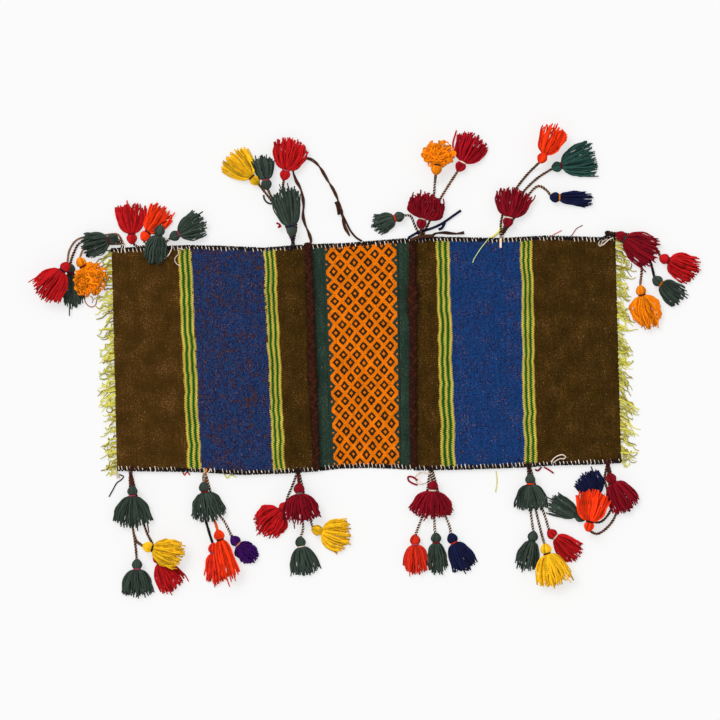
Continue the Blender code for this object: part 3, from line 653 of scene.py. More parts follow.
def smooth_way(points, steps):
    """A smooth curve through points, with steps stretches between each two."""
    points = [np.asarray(point, float) for point in points]
    ends = [2 * points[0] - points[1], *points, 2 * points[-1] - points[-2]]
    way = []
    for a, b, c, d in zip(ends, ends[1:], ends[2:], ends[3:]):
        for i in range(steps):
            t = i / steps
            bend = 2 * a - 5 * b + 4 * c - d
            twist = 3 * b - a - 3 * c + d
            way.append(b + ((c - a) * t + bend * t ** 2 + twist * t ** 3) / 2)
    return np.array(way + [points[-1]])


def way_lengths(way):
    """The length along a way up to each of its points."""
    stretches = np.linalg.norm(np.diff(way, axis=0), axis=1)
    return np.concatenate(([0.0], np.cumsum(stretches)))


def resampled(way, step):
    """The same way with points an even step apart."""
    along = way_lengths(way)
    count = max(2, int(round(along[-1] / step)) + 1)
    wanted = np.linspace(0.0, along[-1], count)
    return np.stack([np.interp(wanted, along, way[:, k]) for k in range(way.shape[1])], axis=1)


def with_height(flat, height):
    """Flat points lifted to a height."""
    heights = np.broadcast_to(height, flat.shape[:1])
    return np.column_stack((flat, heights))


# Meshes

def frames_along(points):
    """Tangents and two cross directions along many ways at once, without twisting."""
    tangents = np.gradient(points, axis=1)
    tangents /= np.linalg.norm(tangents, axis=2, keepdims=True) + 1e-12
    upright = np.abs(tangents[:, 0, 2]) > 0.9
    first = np.where(upright[:, None], (1.0, 0.0, 0.0), (0.0, 0.0, 1.0))
    across = np.empty_like(points)
    held = first
    for i in range(points.shape[1]):
        tangent = tangents[:, i]
        held = held - (held * tangent).sum(1, keepdims=True) * tangent
        held = held / (np.linalg.norm(held, axis=1, keepdims=True) + 1e-12)
        across[:, i] = held
    return tangents, across, np.cross(tangents, across)


class YarnMesh:
    """Gathers tubes of yarn of several dyes and makes them one object."""

    def __init__(self):
        self.points = []
        self.loops = []
        self.sizes = []
        self.slots = []
        self.tones = []
        self.ways = []
        self.dyes = []
        self.count = 0

    def add(self, points, radius, colour, rng, sides=5):
        """Add a tube along points (points, 3), or several (yarns, points, 3), of one dye."""
        if points.ndim == 2:
            points = points[None]
        yarns, stations = points.shape[:2]
        radius = np.broadcast_to(radius, (yarns, stations))
        _, across, over = frames_along(points)
        turns = np.arange(sides) * 2 * math.pi / sides
        rims = (across[:, :, None] * np.cos(turns)[:, None]
                + over[:, :, None] * np.sin(turns)[:, None])
        skin = points[:, :, None] + rims * radius[:, :, None, None]
        lengths = np.concatenate((np.zeros((yarns, 1)), np.cumsum(
            np.linalg.norm(np.diff(points, axis=1), axis=2), axis=1)), axis=1)
        index = self.count + np.arange(yarns * stations * sides).reshape(yarns, stations, sides)
        after = np.roll(index, -1, axis=2)
        quads = np.stack((index[:, :-1], after[:, :-1], after[:, 1:], index[:, 1:]), axis=-1)
        share = np.broadcast_to(np.arange(sides) / sides, (yarns, stations - 1, sides))
        near = np.broadcast_to(lengths[:, :-1, None], share.shape)
        far = np.broadcast_to(lengths[:, 1:, None], share.shape)
        step = 1 / sides
        quad_ways = np.stack((
            np.stack((share, near), -1), np.stack((share + step, near), -1),
            np.stack((share + step, far), -1), np.stack((share, far), -1)), axis=-2)
        caps = np.concatenate((index[:, 0, ::-1], index[:, -1]))
        cap_ways = np.zeros((caps.size, 2))
        self.points.append(skin.reshape(-1, 3))
        self.loops += [quads.reshape(-1), caps.reshape(-1)]
        self.sizes += [np.full(quads.size // 4, 4), np.full(len(caps), sides)]
        if colour not in self.dyes:
            self.dyes.append(colour)
        self.slots.append(np.full(quads.size // 4 + len(caps), self.dyes.index(colour)))
        self.tones.append(np.repeat(rng.random(yarns), stations * sides))
        self.ways += [quad_ways.reshape(-1, 2), cap_ways]
        self.count += skin.size // 3

    def build(self, name):
        """Make the object, shaded smooth, with its dyes as materials."""
        mesh = array_mesh(name, np.concatenate(self.points), np.concatenate(self.loops),
                          np.concatenate(self.sizes), np.concatenate(self.slots))
        tone = mesh.attributes.new(TONE_ATTRIBUTE, "FLOAT", "POINT")
        tone.data.foreach_set("value", np.concatenate(self.tones).astype(np.float32))
        ways = np.concatenate(self.ways)
        way = mesh.attributes.new(WAY_ATTRIBUTE, "FLOAT_VECTOR", "CORNER")
        way.data.foreach_set("vector", np.column_stack(
            (ways, np.zeros(len(ways)))).astype(np.float32).ravel())
        for colour in self.dyes:
            mesh.materials.append(yarn_material(colour))
        return linked(name, mesh)


def array_mesh(name, points, loops, sizes, slots=None):
    """A mesh from arrays of points, face corners, face sizes and material slots."""
    mesh = bpy.data.meshes.new(name)
    mesh.vertices.add(len(points))
    mesh.vertices.foreach_set("co", points.astype(np.float32).ravel())
    mesh.loops.add(len(loops))
    mesh.loops.foreach_set("vertex_index", loops.astype(np.int32))
    mesh.polygons.add(len(sizes))
    starts = np.concatenate(([0], np.cumsum(sizes)[:-1]))
    mesh.polygons.foreach_set("loop_start", starts.astype(np.int32))
    if slots is not None:
        mesh.polygons.foreach_set("material_index", slots.astype(np.int32))
    mesh.polygons.foreach_set("use_smooth", np.ones(len(sizes), bool))
    mesh.update(calc_edges=True)
    return mesh


def linked(name, data):
    """Put data in the scene as a named object."""
    made = bpy.data.objects.new(name, data)
    bpy.context.scene.collection.objects.link(made)
    return made


# Materials

class Shade:
    """Adds linked nodes to the tree of one material."""

    def __init__(self, name):
        self.material = bpy.data.materials.new(name)
        self.material.use_nodes = True
        self.tree = self.material.node_tree
        self.shader = self.tree.nodes["Principled BSDF"]

    def node(self, kind, **settings):
        """Add a node."""
        made = self.tree.nodes.new(kind)
        for key, value in settings.items():
            setattr(made, key, value)
        return made

    def feed(self, socket, value):
        """Link a socket, or set its value."""
        if isinstance(value, bpy.types.NodeSocket):
            self.tree.links.new(value, socket)
        else:
            socket.default_value = value

    def math(self, operation, *values):
        """The result of a Math node."""
        made = self.node("ShaderNodeMath", operation=operation)
        for socket, value in zip(made.inputs, values):
            self.feed(socket, value)
        return made.outputs[0]

    def plus(self, first, second):
        """The sum."""
        return self.math("ADD", first, second)

    def minus(self, first, second):
        """The first less the second."""
        return self.math("SUBTRACT", first, second)

    def times(self, first, second):
        """The product."""
        return self.math("MULTIPLY", first, second)

    def over(self, first, second):
        """The first divided by the second."""
        return self.math("DIVIDE", first, second)

    def size(self, value):
        """The value without its sign."""
        return self.math("ABSOLUTE", value)

    def above(self, value, limit):
        """One where the value is above the limit."""
        return self.math("GREATER_THAN", value, limit)

    def below(self, value, limit):
        """One where the value is below the limit."""
        return self.math("LESS_THAN", value, limit)

    def mix(self, factor, first, second, blend="MIX"):
        """Two colours mixed."""
        made = self.node("ShaderNodeMix", data_type="RGBA", blend_type=blend)
        self.feed(made.inputs[0], factor)
        self.feed(made.inputs[6], first)
        self.feed(made.inputs[7], second)
        return made.outputs[2]

    def range(self, value, low, high, out_low, out_high):
        """A value moved from one range to another."""
        made = self.node("ShaderNodeMapRange")
        for socket, given in zip(made.inputs, (value, low, high, out_low, out_high)):
            self.feed(socket, given)
        return made.outputs[0]

    def spread(self, noise_value, out_low, out_high):
        """Noise, which keeps mostly between 0.3 and 0.7, spread from one value to another."""
        return self.range(noise_value, 0.3, 0.7, out_low, out_high)

    def attribute(self, name):
        """The first two parts of a vector attribute, and its factor."""
        made = self.node("ShaderNodeAttribute", attribute_name=name)
        parts = self.node("ShaderNodeSeparateXYZ")
        self.feed(parts.inputs[0], made.outputs["Vector"])
        return parts.outputs["X"], parts.outputs["Y"], made.outputs["Fac"]

    def noise(self, place, scale, detail=2.0):
        """Noise at a place."""
        made = self.node("ShaderNodeTexNoise")
        self.feed(made.inputs["Vector"], place)
        self.feed(made.inputs["Scale"], scale)
        self.feed(made.inputs["Detail"], detail)
        return made.outputs["Fac"]

    def vector(self, x, y, z=0.0):
        """A vector from its parts."""
        made = self.node("ShaderNodeCombineXYZ")
        for socket, value in zip(made.inputs, (x, y, z)):
            self.feed(socket, value)
        return made.outputs[0]

    def ramp(self, value, stops):
        """A ramp with sharp steps: rows of (where it starts, colour with alpha)."""
        made = self.node("ShaderNodeValToRGB")
        ramp = made.color_ramp
        ramp.interpolation = "CONSTANT"
        ramp.elements[1].position = 1.0
        for i, (position, colour) in enumerate(stops):
            element = ramp.elements[0] if i == 0 else ramp.elements.new(position)
            element.position = position
            element.color = colour
        last = ramp.elements[len(ramp.elements) - 1]
        last.color = stops[-1][1]
        self.feed(made.inputs[0], value)
        return made.outputs["Color"], made.outputs["Alpha"]

    def bump(self, height, strength, distance):
        """Feed a relief to the shader."""
        made = self.node("ShaderNodeBump")
        self.feed(made.inputs["Height"], height)
        self.feed(made.inputs["Strength"], strength)
        self.feed(made.inputs["Distance"], distance)
        self.feed(self.shader.inputs["Normal"], made.outputs["Normal"])

    def wool(self, colour, roughness, sheen, gloss):
        """Set the shader to matt wool of a colour."""
        self.feed(self.shader.inputs["Base Color"], colour)
        self.shader.inputs["Roughness"].default_value = roughness
        self.shader.inputs["Sheen Weight"].default_value = sheen
        self.shader.inputs["Sheen Roughness"].default_value = 0.6
        self.shader.inputs["Specular IOR Level"].default_value = gloss
        return self.material


def dye_colour(name, alpha=1.0):
    """A dye's colour with an alpha."""
    return (*getattr(bpy.context.scene.saddlebag_dyes, name), alpha)


def yarn_material(colour):
    """Plied wool yarn of one dye, with its twist, fuzz, uneven dyeing and painted shade in the
    grooves between its plies.
    """
    name = f"yarn_{colour}"
    found = bpy.data.materials.get(name)
    if found:
        return found
    shade = Shade(name)
    turn, along, _ = shade.attribute(WAY_ATTRIBUTE)
    _, _, tone = shade.attribute(TONE_ATTRIBUTE)
    place = shade.node("ShaderNodeTexCoord").outputs["Object"]
    twist = shade.plus(shade.times(turn, 2.0), shade.over(along, YARN_TWIST))
    plies = shade.size(shade.math("SINE", shade.times(twist, math.pi)))
    fuzz = shade.noise(place, 1500.0, 3.0)
    patch = shade.noise(place, 90.0, 2.0)
    light = shade.plus(shade.range(tone, 0.0, 1.0, 0.60, 1.36),
                       shade.spread(patch, -0.16, 0.16))
    # Painted shade: the colour is darkened in the grooves between the plies, besides the bump
    light = shade.times(light, shade.range(plies, 0.0, 1.0, 0.72, 1.06))
    light = shade.times(light, shade.spread(fuzz, 0.9, 1.1))
    base = shade.mix(1.0, dye_colour(colour), shade.vector(light, light, light), "MULTIPLY")
    relief = shade.plus(shade.times(plies, 0.7), shade.times(fuzz, 0.3))
    shade.bump(relief, 0.6, 0.0005)
    return shade.wool(base, *YARN_FINISH)


def weave_relief(shade, u, v, cloth):
    """The height of the weave at a place, whether its row is odd, and its pick and row."""
    warp = shade.over(v, cloth.warp)
    row = shade.math("FLOOR", warp)
    odd = shade.math("FLOORED_MODULO", row, 2.0)
    weft = shade.plus(shade.over(u, cloth.weft), shade.times(odd, 0.5))
    rib = shade.size(shade.math("SINE", shade.times(warp, math.pi)))
    pick = shade.size(shade.math("SINE", shade.times(weft, math.pi)))
    height = shade.times(shade.math("POWER", rib, 0.5), shade.math("POWER", pick, 0.6))
    return height, odd, shade.math("FLOOR", weft), row


def woven(shade, u, v, cloth, ground, fleck, amount, stray=0.0):
    """Finish a weave: flecks of another yarn, stray fibres, uneven dyeing, wear, relief and painted
    shade in the low places of the weave.
    """
    height, odd, pick, row = weave_relief(shade, u, v, cloth)
    cell = shade.vector(pick, row)
    grain = shade.node("ShaderNodeTexWhiteNoise", noise_dimensions="2D")
    shade.feed(grain.inputs["Vector"], cell)
    crumb = shade.noise(shade.vector(u, shade.times(v, 0.7)), 700.0, 2.0)
    cloud = shade.noise(shade.vector(u, v), 26.0, 4.0)
    streak = shade.noise(shade.vector(u, shade.times(v, 0.12)), 150.0, 3.0)
    spot = shade.plus(shade.times(crumb, 0.7), shade.times(grain.outputs["Value"], 0.3))
    drift = shade.spread(cloud, -0.3, 0.3)
    spot = shade.plus(spot, shade.times(drift, shade.times(amount, 0.6)))
    limit = shade.minus(FLECK_START, amount)
    fleck_share = shade.range(shade.minus(spot, limit), -0.04, 0.04, 0.0, 1.0)
    base = shade.mix(fleck_share, ground, fleck)
    fibre = shade.noise(shade.vector(v, u, 0.4), 300.0, 1.0)
    fibre = shade.plus(fibre, stray)
    spark = shade.range(shade.plus(fibre, shade.spread(cloud, -0.08, 0.08)),
                        0.66, 0.72, 0.0, 0.72)
    base = shade.mix(shade.times(spark, shade.above(amount, SPARK_FLECKS)),
                     base, dye_colour("spark"))
    speck = shade.above(grain.outputs["Value"], SPECK_START)
    base = shade.mix(shade.times(speck, 0.75), base, dye_colour("tan"))
    # Painted shade: the colour is darkened in the low places of the weave, besides the relief
    light = shade.times(shade.range(height, 0.0, 1.0, 0.66, 1.10),
                       shade.spread(crumb, 0.84, 1.16))
    light = shade.times(light, shade.range(odd, 0.0, 1.0, 0.92, 1.08))
    light = shade.times(light, shade.spread(cloud, 0.84, 1.16))
    light = shade.times(light, shade.spread(streak, 0.84, 1.16))
    base = shade.mix(1.0, base, shade.vector(light, light, light), "MULTIPLY")
    shade.bump(height, 0.55, 0.0007)
    return shade.wool(base, *WOVEN_FINISH)


FLECKS = {
    "brown_ground": ("brown_fleck", 0.22),
    "brown_outer": ("brown_fleck", 0.22),
    "blue_left": ("blue_fleck", 0.33),
    "blue_right": ("blue_fleck", 0.29),
    "green_ground": ("green_fleck", 0.17),
}


def ground_stops(bands, low, high):
    """Where each plain band starts, as ramp rows of its own colour and of its flecks."""
    ground = []
    fleck = []
    start = low
    for end, name in bands:
        if name != "stripes":
            fleck_dye, amount = FLECKS[name]
            at = (start - low) / (high - low)
            ground.append((at, dye_colour(name)))
            fleck.append((at, dye_colour(fleck_dye, amount)))
            start = end
        else:
            start = (start + end) / 2
    return ground, fleck


def stripe_share(shade, place, bands):
    """How far a place is across the group of stripes it lies in, and whether it lies in one."""
    share = 0.0
    inside = 0.0
    start = None
    for end, name in bands:
        if name == "stripes":
            across = shade.over(shade.minus(place, start), end - start)
            off = shade.size(shade.minus(across, 0.5))
            here = shade.below(off, 0.5)
            share = shade.plus(share, shade.times(across, here))
            inside = shade.plus(inside, here)
        start = end
    return share, inside


def rust_share(shade, u, v):
    """How much rust brown shows through the blue at a place."""
    spot = shade.noise(shade.vector(u, shade.times(v, 0.6)), 150.0, 1.0)
    drift = shade.spread(shade.noise(shade.vector(u, v, 0.3), 48.0, 2.0), -0.12, 0.12)
    return shade.range(shade.plus(spot, drift), 0.56, 0.62, 0.0, 0.95)


def band_material(side):
    """The banded weave of one pouch, with the toothed edges of its bands."""
    cloth = bpy.context.scene.saddlebag_cloth
    bands = LEFT_BANDS if side < 0 else RIGHT_BANDS
    low = -HALF_LENGTH - BRAID_WIDTH if side < 0 else 0.0
    high = 0.0 if side < 0 else HALF_LENGTH + BRAID_WIDTH
    shade = Shade(f"{WORDS[side]}_pouch_weave")
    u, v, _ = shade.attribute(WEAVE_ATTRIBUTE)
    odd = shade.math("FLOORED_MODULO", shade.math("FLOOR", shade.over(v, cloth.warp)), 2.0)
    wander = shade.noise(shade.vector(shade.times(u, 0.3), v), 24.0, 3.0)
    tooth = shade.times(shade.minus(odd, 0.5), cloth.tooth)
    place = shade.plus(u, shade.spread(wander, -0.0024, 0.0024))
    place = shade.plus(place, tooth)
    along = shade.range(place, low, high, 0.0, 1.0)
    ground_rows, fleck_rows = ground_stops(bands, low, high)
    ground, _ = shade.ramp(along, ground_rows)
    fleck, amount = shade.ramp(along, fleck_rows)
    share, inside = stripe_share(shade, place, bands)
    starts = [0.0] + [end for _, end in STRIPE_GROUP_SHARES[:-1]]
    stripe, _ = shade.ramp(share, [
        (start, dye_colour(name)) for start, (name, _) in zip(starts, STRIPE_GROUP_SHARES)])
    ground = shade.mix(inside, ground, stripe)
    amount = shade.times(amount, shade.minus(1.0, inside))
    stray = shade.times(STRAY_RISE, shade.below(u, STRAY_BEYOND))
    mottled = shade.times(shade.above(u, MOTTLED_PLACES[0]), shade.below(u, MOTTLED_PLACES[1]))
    ground = shade.mix(shade.times(mottled, rust_share(shade, u, v)),
                       ground, dye_colour("rust"))
    return woven(shade, u, v, cloth, ground, fleck, amount, stray)


def diamond_material():
    """The brocaded diamonds on the dark green bridge."""
    cloth = bpy.context.scene.saddlebag_cloth
    shade = Shade("bridge_weave")
    u, v, _ = shade.attribute(WEAVE_ATTRIBUTE)
    wander = shade.noise(shade.vector(u, v), 14.0, 1.0)
    shift = shade.spread(wander, -0.0022, 0.0022)
    snapped_u = shade.math("SNAP", shade.minus(u, DIAMOND_MIDDLE_X), cloth.weft)
    snapped_v = shade.math("SNAP", shade.plus(v, shift), cloth.warp / 2)
    across = shade.over(snapped_u, DIAMOND_PITCH[0])
    up = shade.over(snapped_v, DIAMOND_PITCH[1])
    first = shade.plus(across, up)
    second = shade.minus(across, up)
    half = 0.5 * (DIAMOND_COLUMNS % 2)

    def from_middle(value):
        shifted = shade.plus(value, half + 0.5)
        fraction = shade.math("FLOORED_MODULO", shifted, 1.0)
        return shade.size(shade.minus(fraction, 0.5))

    def middle(value):
        return shade.minus(shade.math("FLOOR", shade.plus(value, half + 0.5)), half)

    out = shade.math("MAXIMUM", from_middle(first), from_middle(second))
    reach = DIAMOND_COLUMNS / 2
    inside = shade.below(shade.size(across), reach + 0.04)
    near = shade.below(shade.size(across), reach + DIAMOND_HEART_SHARE + 0.02)
    uneven = shade.spread(shade.noise(shade.vector(u, v), 75.0, 1.0), -0.035, 0.035)
    edge_share = shade.plus(DIAMOND_EDGE_SHARE, uneven)
    edge = shade.times(shade.above(out, edge_share), inside)
    outer = shade.above(shade.size(across), reach - 0.3)
    heart_share = shade.minus(DIAMOND_HEART_SHARE, shade.times(outer, 0.045))
    heart_share = shade.minus(heart_share, shade.times(uneven, 0.6))
    heart = shade.times(shade.below(out, heart_share), near)
    orange = shade.math("MAXIMUM", edge, heart)
    column = shade.size(shade.times(0.5, shade.plus(middle(first), middle(second))))
    whole = shade.below(column, reach - 0.25)
    dark = shade.mix(whole, dye_colour("green_ground"), dye_colour("diamond_ring"))
    ground = shade.mix(orange, dark, dye_colour("diamond"))
    fleck = shade.mix(orange, dye_colour("green_fleck"), dye_colour("diamond_ring"))
    return woven(shade, u, v, cloth, ground, fleck, BRIDGE_FLECKS)


# The cloth

def slow_wave(x, y, z):
    """A slow uneven wave between -1 and 1."""
    return noise.noise(Vector((x * 9, y * 7, z)))


def front_height(x, y, side, cloth):
    """The height of the middle of a pouch's front layer."""
    top = POUCH_HEIGHT - cloth.thickness / 2 - cloth.wave
    to_seam = np.clip((HALF_WIDTH - abs(y)) / SEAM_DROP[0], 0.0, 1.0)
    to_mouth = np.clip(side * (x - FOLD_X[side]) / MOUTH_DROP[0], 0.0, 1.0)
    drop = SEAM_DROP[1] * (1 - to_seam) ** 2 + MOUTH_DROP[1] * (1 - to_mouth)
    wave = cloth.wave * slow_wave(x, y, 3 * side)
    return top - drop + wave * min(1.0, 4 * to_seam)


def cloth_sheet(name, stations, bend, cloth, material):
    """A woven sheet through stations (x, z, out x, out z) along its length, with rounded rims."""
    stations = np.array(stations)
    half = cloth.thickness / 2
    columns = int(round(2 * HALF_WIDTH / cloth.grid)) + 1
    across = np.linspace(-1.0, 1.0, columns)
    rows = len(stations)
    x = stations[:, 0]
    spread = np.abs(across) ** 1.6
    bulge = np.where(across > 0, edge_bulge(x, 1)[:, None], edge_bulge(x, -1)[:, None])
    y = across * HALF_WIDTH + np.sign(across) * spread * bulge
    place_x = x[:, None] + lean(x)[:, None] * across / 2
    place_z = np.array([[bend(x[i], y[i, j], stations[i, 1]) for j in range(columns)]
                        for i in range(rows)])
    middle = np.stack((place_x, y, place_z), axis=-1)
    out = np.stack((stations[:, 2], np.zeros(rows), stations[:, 3]), axis=-1)[:, None]
    front = middle + out * half
    back = middle - out * half
    rim_in = half * 0.6
    front[:, 0, 1] += rim_in
    front[:, -1, 1] -= rim_in
    back[:, 0, 1] += rim_in
    back[:, -1, 1] -= rim_in
    points = np.concatenate((front.reshape(-1, 3), back.reshape(-1, 3)))
    index = np.arange(rows * columns).reshape(rows, columns)
    lower = index + rows * columns
    quads = [
        np.stack((index[:-1, :-1], index[:-1, 1:], index[1:, 1:], index[1:, :-1]), -1),
        np.stack((lower[:-1, :-1], lower[1:, :-1], lower[1:, 1:], lower[:-1, 1:]), -1),
        np.stack((index[:-1, 0], index[1:, 0], lower[1:, 0], lower[:-1, 0]), -1),
        np.stack((index[:-1, -1], lower[:-1, -1], lower[1:, -1], index[1:, -1]), -1),
        np.stack((index[0, :-1], lower[0, :-1], lower[0, 1:], index[0, 1:]), -1),
        np.stack((index[-1, :-1], index[-1, 1:], lower[-1, 1:], lower[-1, :-1]), -1),
    ]
    faces = np.concatenate([quad.reshape(-1, 4) for quad in quads])
    mesh = array_mesh(name, points, faces.ravel(), np.full(len(faces), 4))
    weave = mesh.attributes.new(WEAVE_ATTRIBUTE, "FLOAT_VECTOR", "POINT")
    flat = np.stack((np.broadcast_to(x[:, None], y.shape),
                     np.broadcast_to(across * HALF_WIDTH, y.shape), np.zeros_like(y)), axis=-1)
    both = np.tile(flat.reshape(-1, 3), (2, 1))
    weave.data.foreach_set("vector", both.astype(np.float32).ravel())
    mesh.materials.append(material)
    turn_outward(mesh)
    return linked(name, mesh)


def turn_outward(mesh):
    """Turn a closed mesh's faces outward where they all face in."""
    points = np.empty(len(mesh.vertices) * 3, np.float32)
    mesh.vertices.foreach_get("co", points)
    points = points.reshape(-1, 3).astype(float)
    mesh.calc_loop_triangles()
    corners = np.empty(len(mesh.loop_triangles) * 3, np.int32)
    mesh.loop_triangles.foreach_get("vertices", corners)
    a, b, c = (points[corners.reshape(-1, 3)[:, k]] for k in range(3))
    if np.einsum("ij,ij->i", a, np.cross(b, c)).sum() < 0:
        mesh.flip_normals()


def flat_stations(start, end, height, up, step):
    """Stations along a flat stretch of cloth."""
    count = max(2, int(round(abs(end - start) / step)) + 1)
    return [(x, height, 0.0, up) for x in np.linspace(start, end, count)]


def pouch_stations(side, cloth):
    """Stations from the bridge's plain border, along the back, round the fold and to the mouth."""
    low = cloth.underside + cloth.thickness / 2
    high = POUCH_HEIGHT - cloth.thickness / 2 - cloth.wave
    radius = (high - low) / 2
    fold = side * (HALF_LENGTH - radius - cloth.thickness / 2)
    mouth = FOLD_X[side] + side * (BRAID_SETBACK + BRAID_WIDTH * 0.2)
    stations = flat_stations(BRIDGE_SEAM_X[side], fold, low, -1.0, cloth.grid)
    for angle in np.linspace(-math.pi / 2, math.pi / 2, 9)[1:-1]:
        out_x, out_z = math.cos(angle), math.sin(angle)
        stations.append((fold + side * radius * out_x, low + radius + radius * out_z,
                         side * out_x, out_z))
    return stations + flat_stations(fold, mouth, high, 1.0, cloth.grid)


def make_bridge(cloth):
    """The brocaded middle of the bridge."""
    low = cloth.underside + cloth.thickness / 2
    stations = flat_stations(BRIDGE_SEAM_X[-1], BRIDGE_SEAM_X[1], low, 1.0, cloth.grid)

    def bend(x, y, z):
        return z + 0.0004 + 0.0004 * slow_wave(x, y, 0.5)

    bridge = cloth_sheet("bridge_weave", stations, bend, cloth, diamond_material())
    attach(bridge, "bridge")
    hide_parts("bridge_cloth")


def make_pouch(side, cloth):
    """One pouch: the border of the bridge, the back, the folded end and the front as one cloth."""
    word = WORDS[side]
    middle = (cloth.underside + POUCH_HEIGHT) / 2
    high = POUCH_HEIGHT - cloth.thickness / 2 - cloth.wave

    def bend(x, y, z):
        if z > middle:
            return front_height(x, y, side, cloth) + z - high
        return z + 0.0003 + 0.0003 * slow_wave(x, y, 0.5)

    stations = pouch_stations(side, cloth)
    pouch = cloth_sheet(f"{word}_pouch_weave", stations, bend, cloth, band_material(side))
    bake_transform(pouch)
    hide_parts(f"{word}_pouch_cloth")


# Seams, braids and fringes

def stitch_ways(xs, side, top, under, reach, slant):
    """Ways of overcast stitches over a long edge, from its front round to its back."""
    shape = (
        (-0.5, -1.0, top - 0.0004), (-0.42, -0.82, top + 0.0007), (-0.2, -0.42, top + 0.0009),
        (0.0, -0.02, top + 0.0004), (0.05, 0.16, top - 0.0012), (0.08, 0.20, (top + under) / 2),
        (0.1, 0.16, under + 0.0012), (0.15, 0.0, under), (0.3, -0.5, under),
    )
    ways = []
    for x in xs:
        edge_x, edge_y = edge_point(x, side)
        points = [(edge_x + slant * along, edge_y + side * reach * out, z)
                  for along, out, z in shape]
        ways.append(smooth_way(points, 2))
    return np.array(ways)


def make_overcast(name, body, side, start, end, top, cloth, node=None):
    """The black and cream overcast stitches along a stretch of a long edge."""
    rng = np.random.default_rng(name_seed(name))
    count = int(round((end - start) / cloth.stitch_pitch))
    pitch = (end - start) / count
    xs = start + pitch * (np.arange(count) + 0.5)
    under = cloth.stitch_radius * 1.45
    yarns = YarnMesh()
    for dye_name, shift, reach, radius, slant in OVERCAST_YARNS:
        light = dye_name == "cream"
        kept = rng.random(count) > (CREAM_GAPS if light else BLACK_GAPS)
        places = (xs + pitch * (shift + 0.30 * (rng.random(count) - 0.5)))[kept]
        ways = stitch_ways(places, side, top, under, cloth.stitch_reach * reach,
                           side * pitch * slant)
        uneven = 1 + 0.5 * (rng.random((len(places), 1)) - 0.5)
        edge_y = ways[:, -3:-2, 1]
        ways[:, :, 1] = edge_y + (ways[:, :, 1] - edge_y) * uneven
        if light:
            inward = np.clip(side * (edge_y - ways[:, :, 1]) / cloth.stitch_reach, 0.0, 1.0)
            ways[:, :, 2] += np.where(inward > 0.2, 0.0011, -0.0002)
        yarns.add(ways, cloth.stitch_radius * radius * (0.85 + 0.3 * rng.random((len(places), 1))),
                  dye_name, rng)
    stitches = yarns.build(name)
    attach(stitches, body)
    if node:
        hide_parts(node)


def name_seed(name):
    """A seed that belongs to a name."""
    return sum((i + 1) * ord(letter) for i, letter in enumerate(name))


def make_braid(side, cloth):
    """The three-strand braid of dark wool along a mouth."""
    word = WORDS[side]
    rng = np.random.default_rng(11 + side)
    turns = np.arange(0, 2 * HALF_WIDTH / cloth.braid_pitch, 1 / 16)
    along = turns * cloth.braid_pitch - HALF_WIDTH
    shares = along / (2 * HALF_WIDTH)
    middle = FOLD_X[side] + side * BRAID_SETBACK + side * BRAID_WIDTH * BRAID_SHIFTS[side]
    lumps = np.interp(along, *np.array(BRAID_LUMPS[side]).T)
    top = POUCH_HEIGHT + cloth.braid_radius * 0.2
    yarns = YarnMesh()
    for k in range(3):
        phase = 2 * math.pi * (turns + k / 3)
        uneven = (1 + 0.16 * np.sin(along * 47 + k * 2) + 0.10 * np.sin(along * 131 + k)
                  + lumps * 0.5)
        x = middle + lean(middle) * shares + BRAID_SWING * np.sin(phase) * uneven
        x = x + 0.0010 * np.sin(along * 23 + side)
        z = top + 0.0012 * np.sin(2 * phase) + 0.0012 * lumps
        way = np.column_stack((x, along, z))
        yarns.add(way, (cloth.braid_radius * uneven)[None], "braid", rng, sides=8)
    hairs = BRAID_HAIRS
    base = rng.random(hairs)
    hair_y = (base - 0.5) * 2 * HALF_WIDTH * 0.99
    swell = 1 + 0.8 * np.interp(hair_y, *np.array(BRAID_LUMPS[side]).T)
    start = np.column_stack((
        middle + lean(middle) * (base - 0.5) + (rng.random(hairs) - 0.5) * HAIR_SPREAD * swell,
        hair_y, np.full(hairs, top + 0.0020)))
    reach = np.column_stack((
        (rng.random(hairs) - 0.5) * HAIR_REACH * swell, (rng.random(hairs) - 0.5) * 0.012,
        (rng.random(hairs) - 0.30) * 0.0026))
    steps = np.linspace(0, 1, 5)[None, :, None]
    curl = np.sin(steps * 6 + rng.random((hairs, 1, 1)) * 6) * 0.0009
    ways = start[:, None] + reach[:, None] * steps + curl
    thin = np.array([[0.00050, 0.00046, 0.00040, 0.00030, 0.00014]])
    yarns.add(ways, thin, "braid", rng, sides=3)
    braid = yarns.build(f"{word}_mouth_braid_wool")
    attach(braid, f"{word}_pouch")
    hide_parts(f"{word}_mouth_braid")


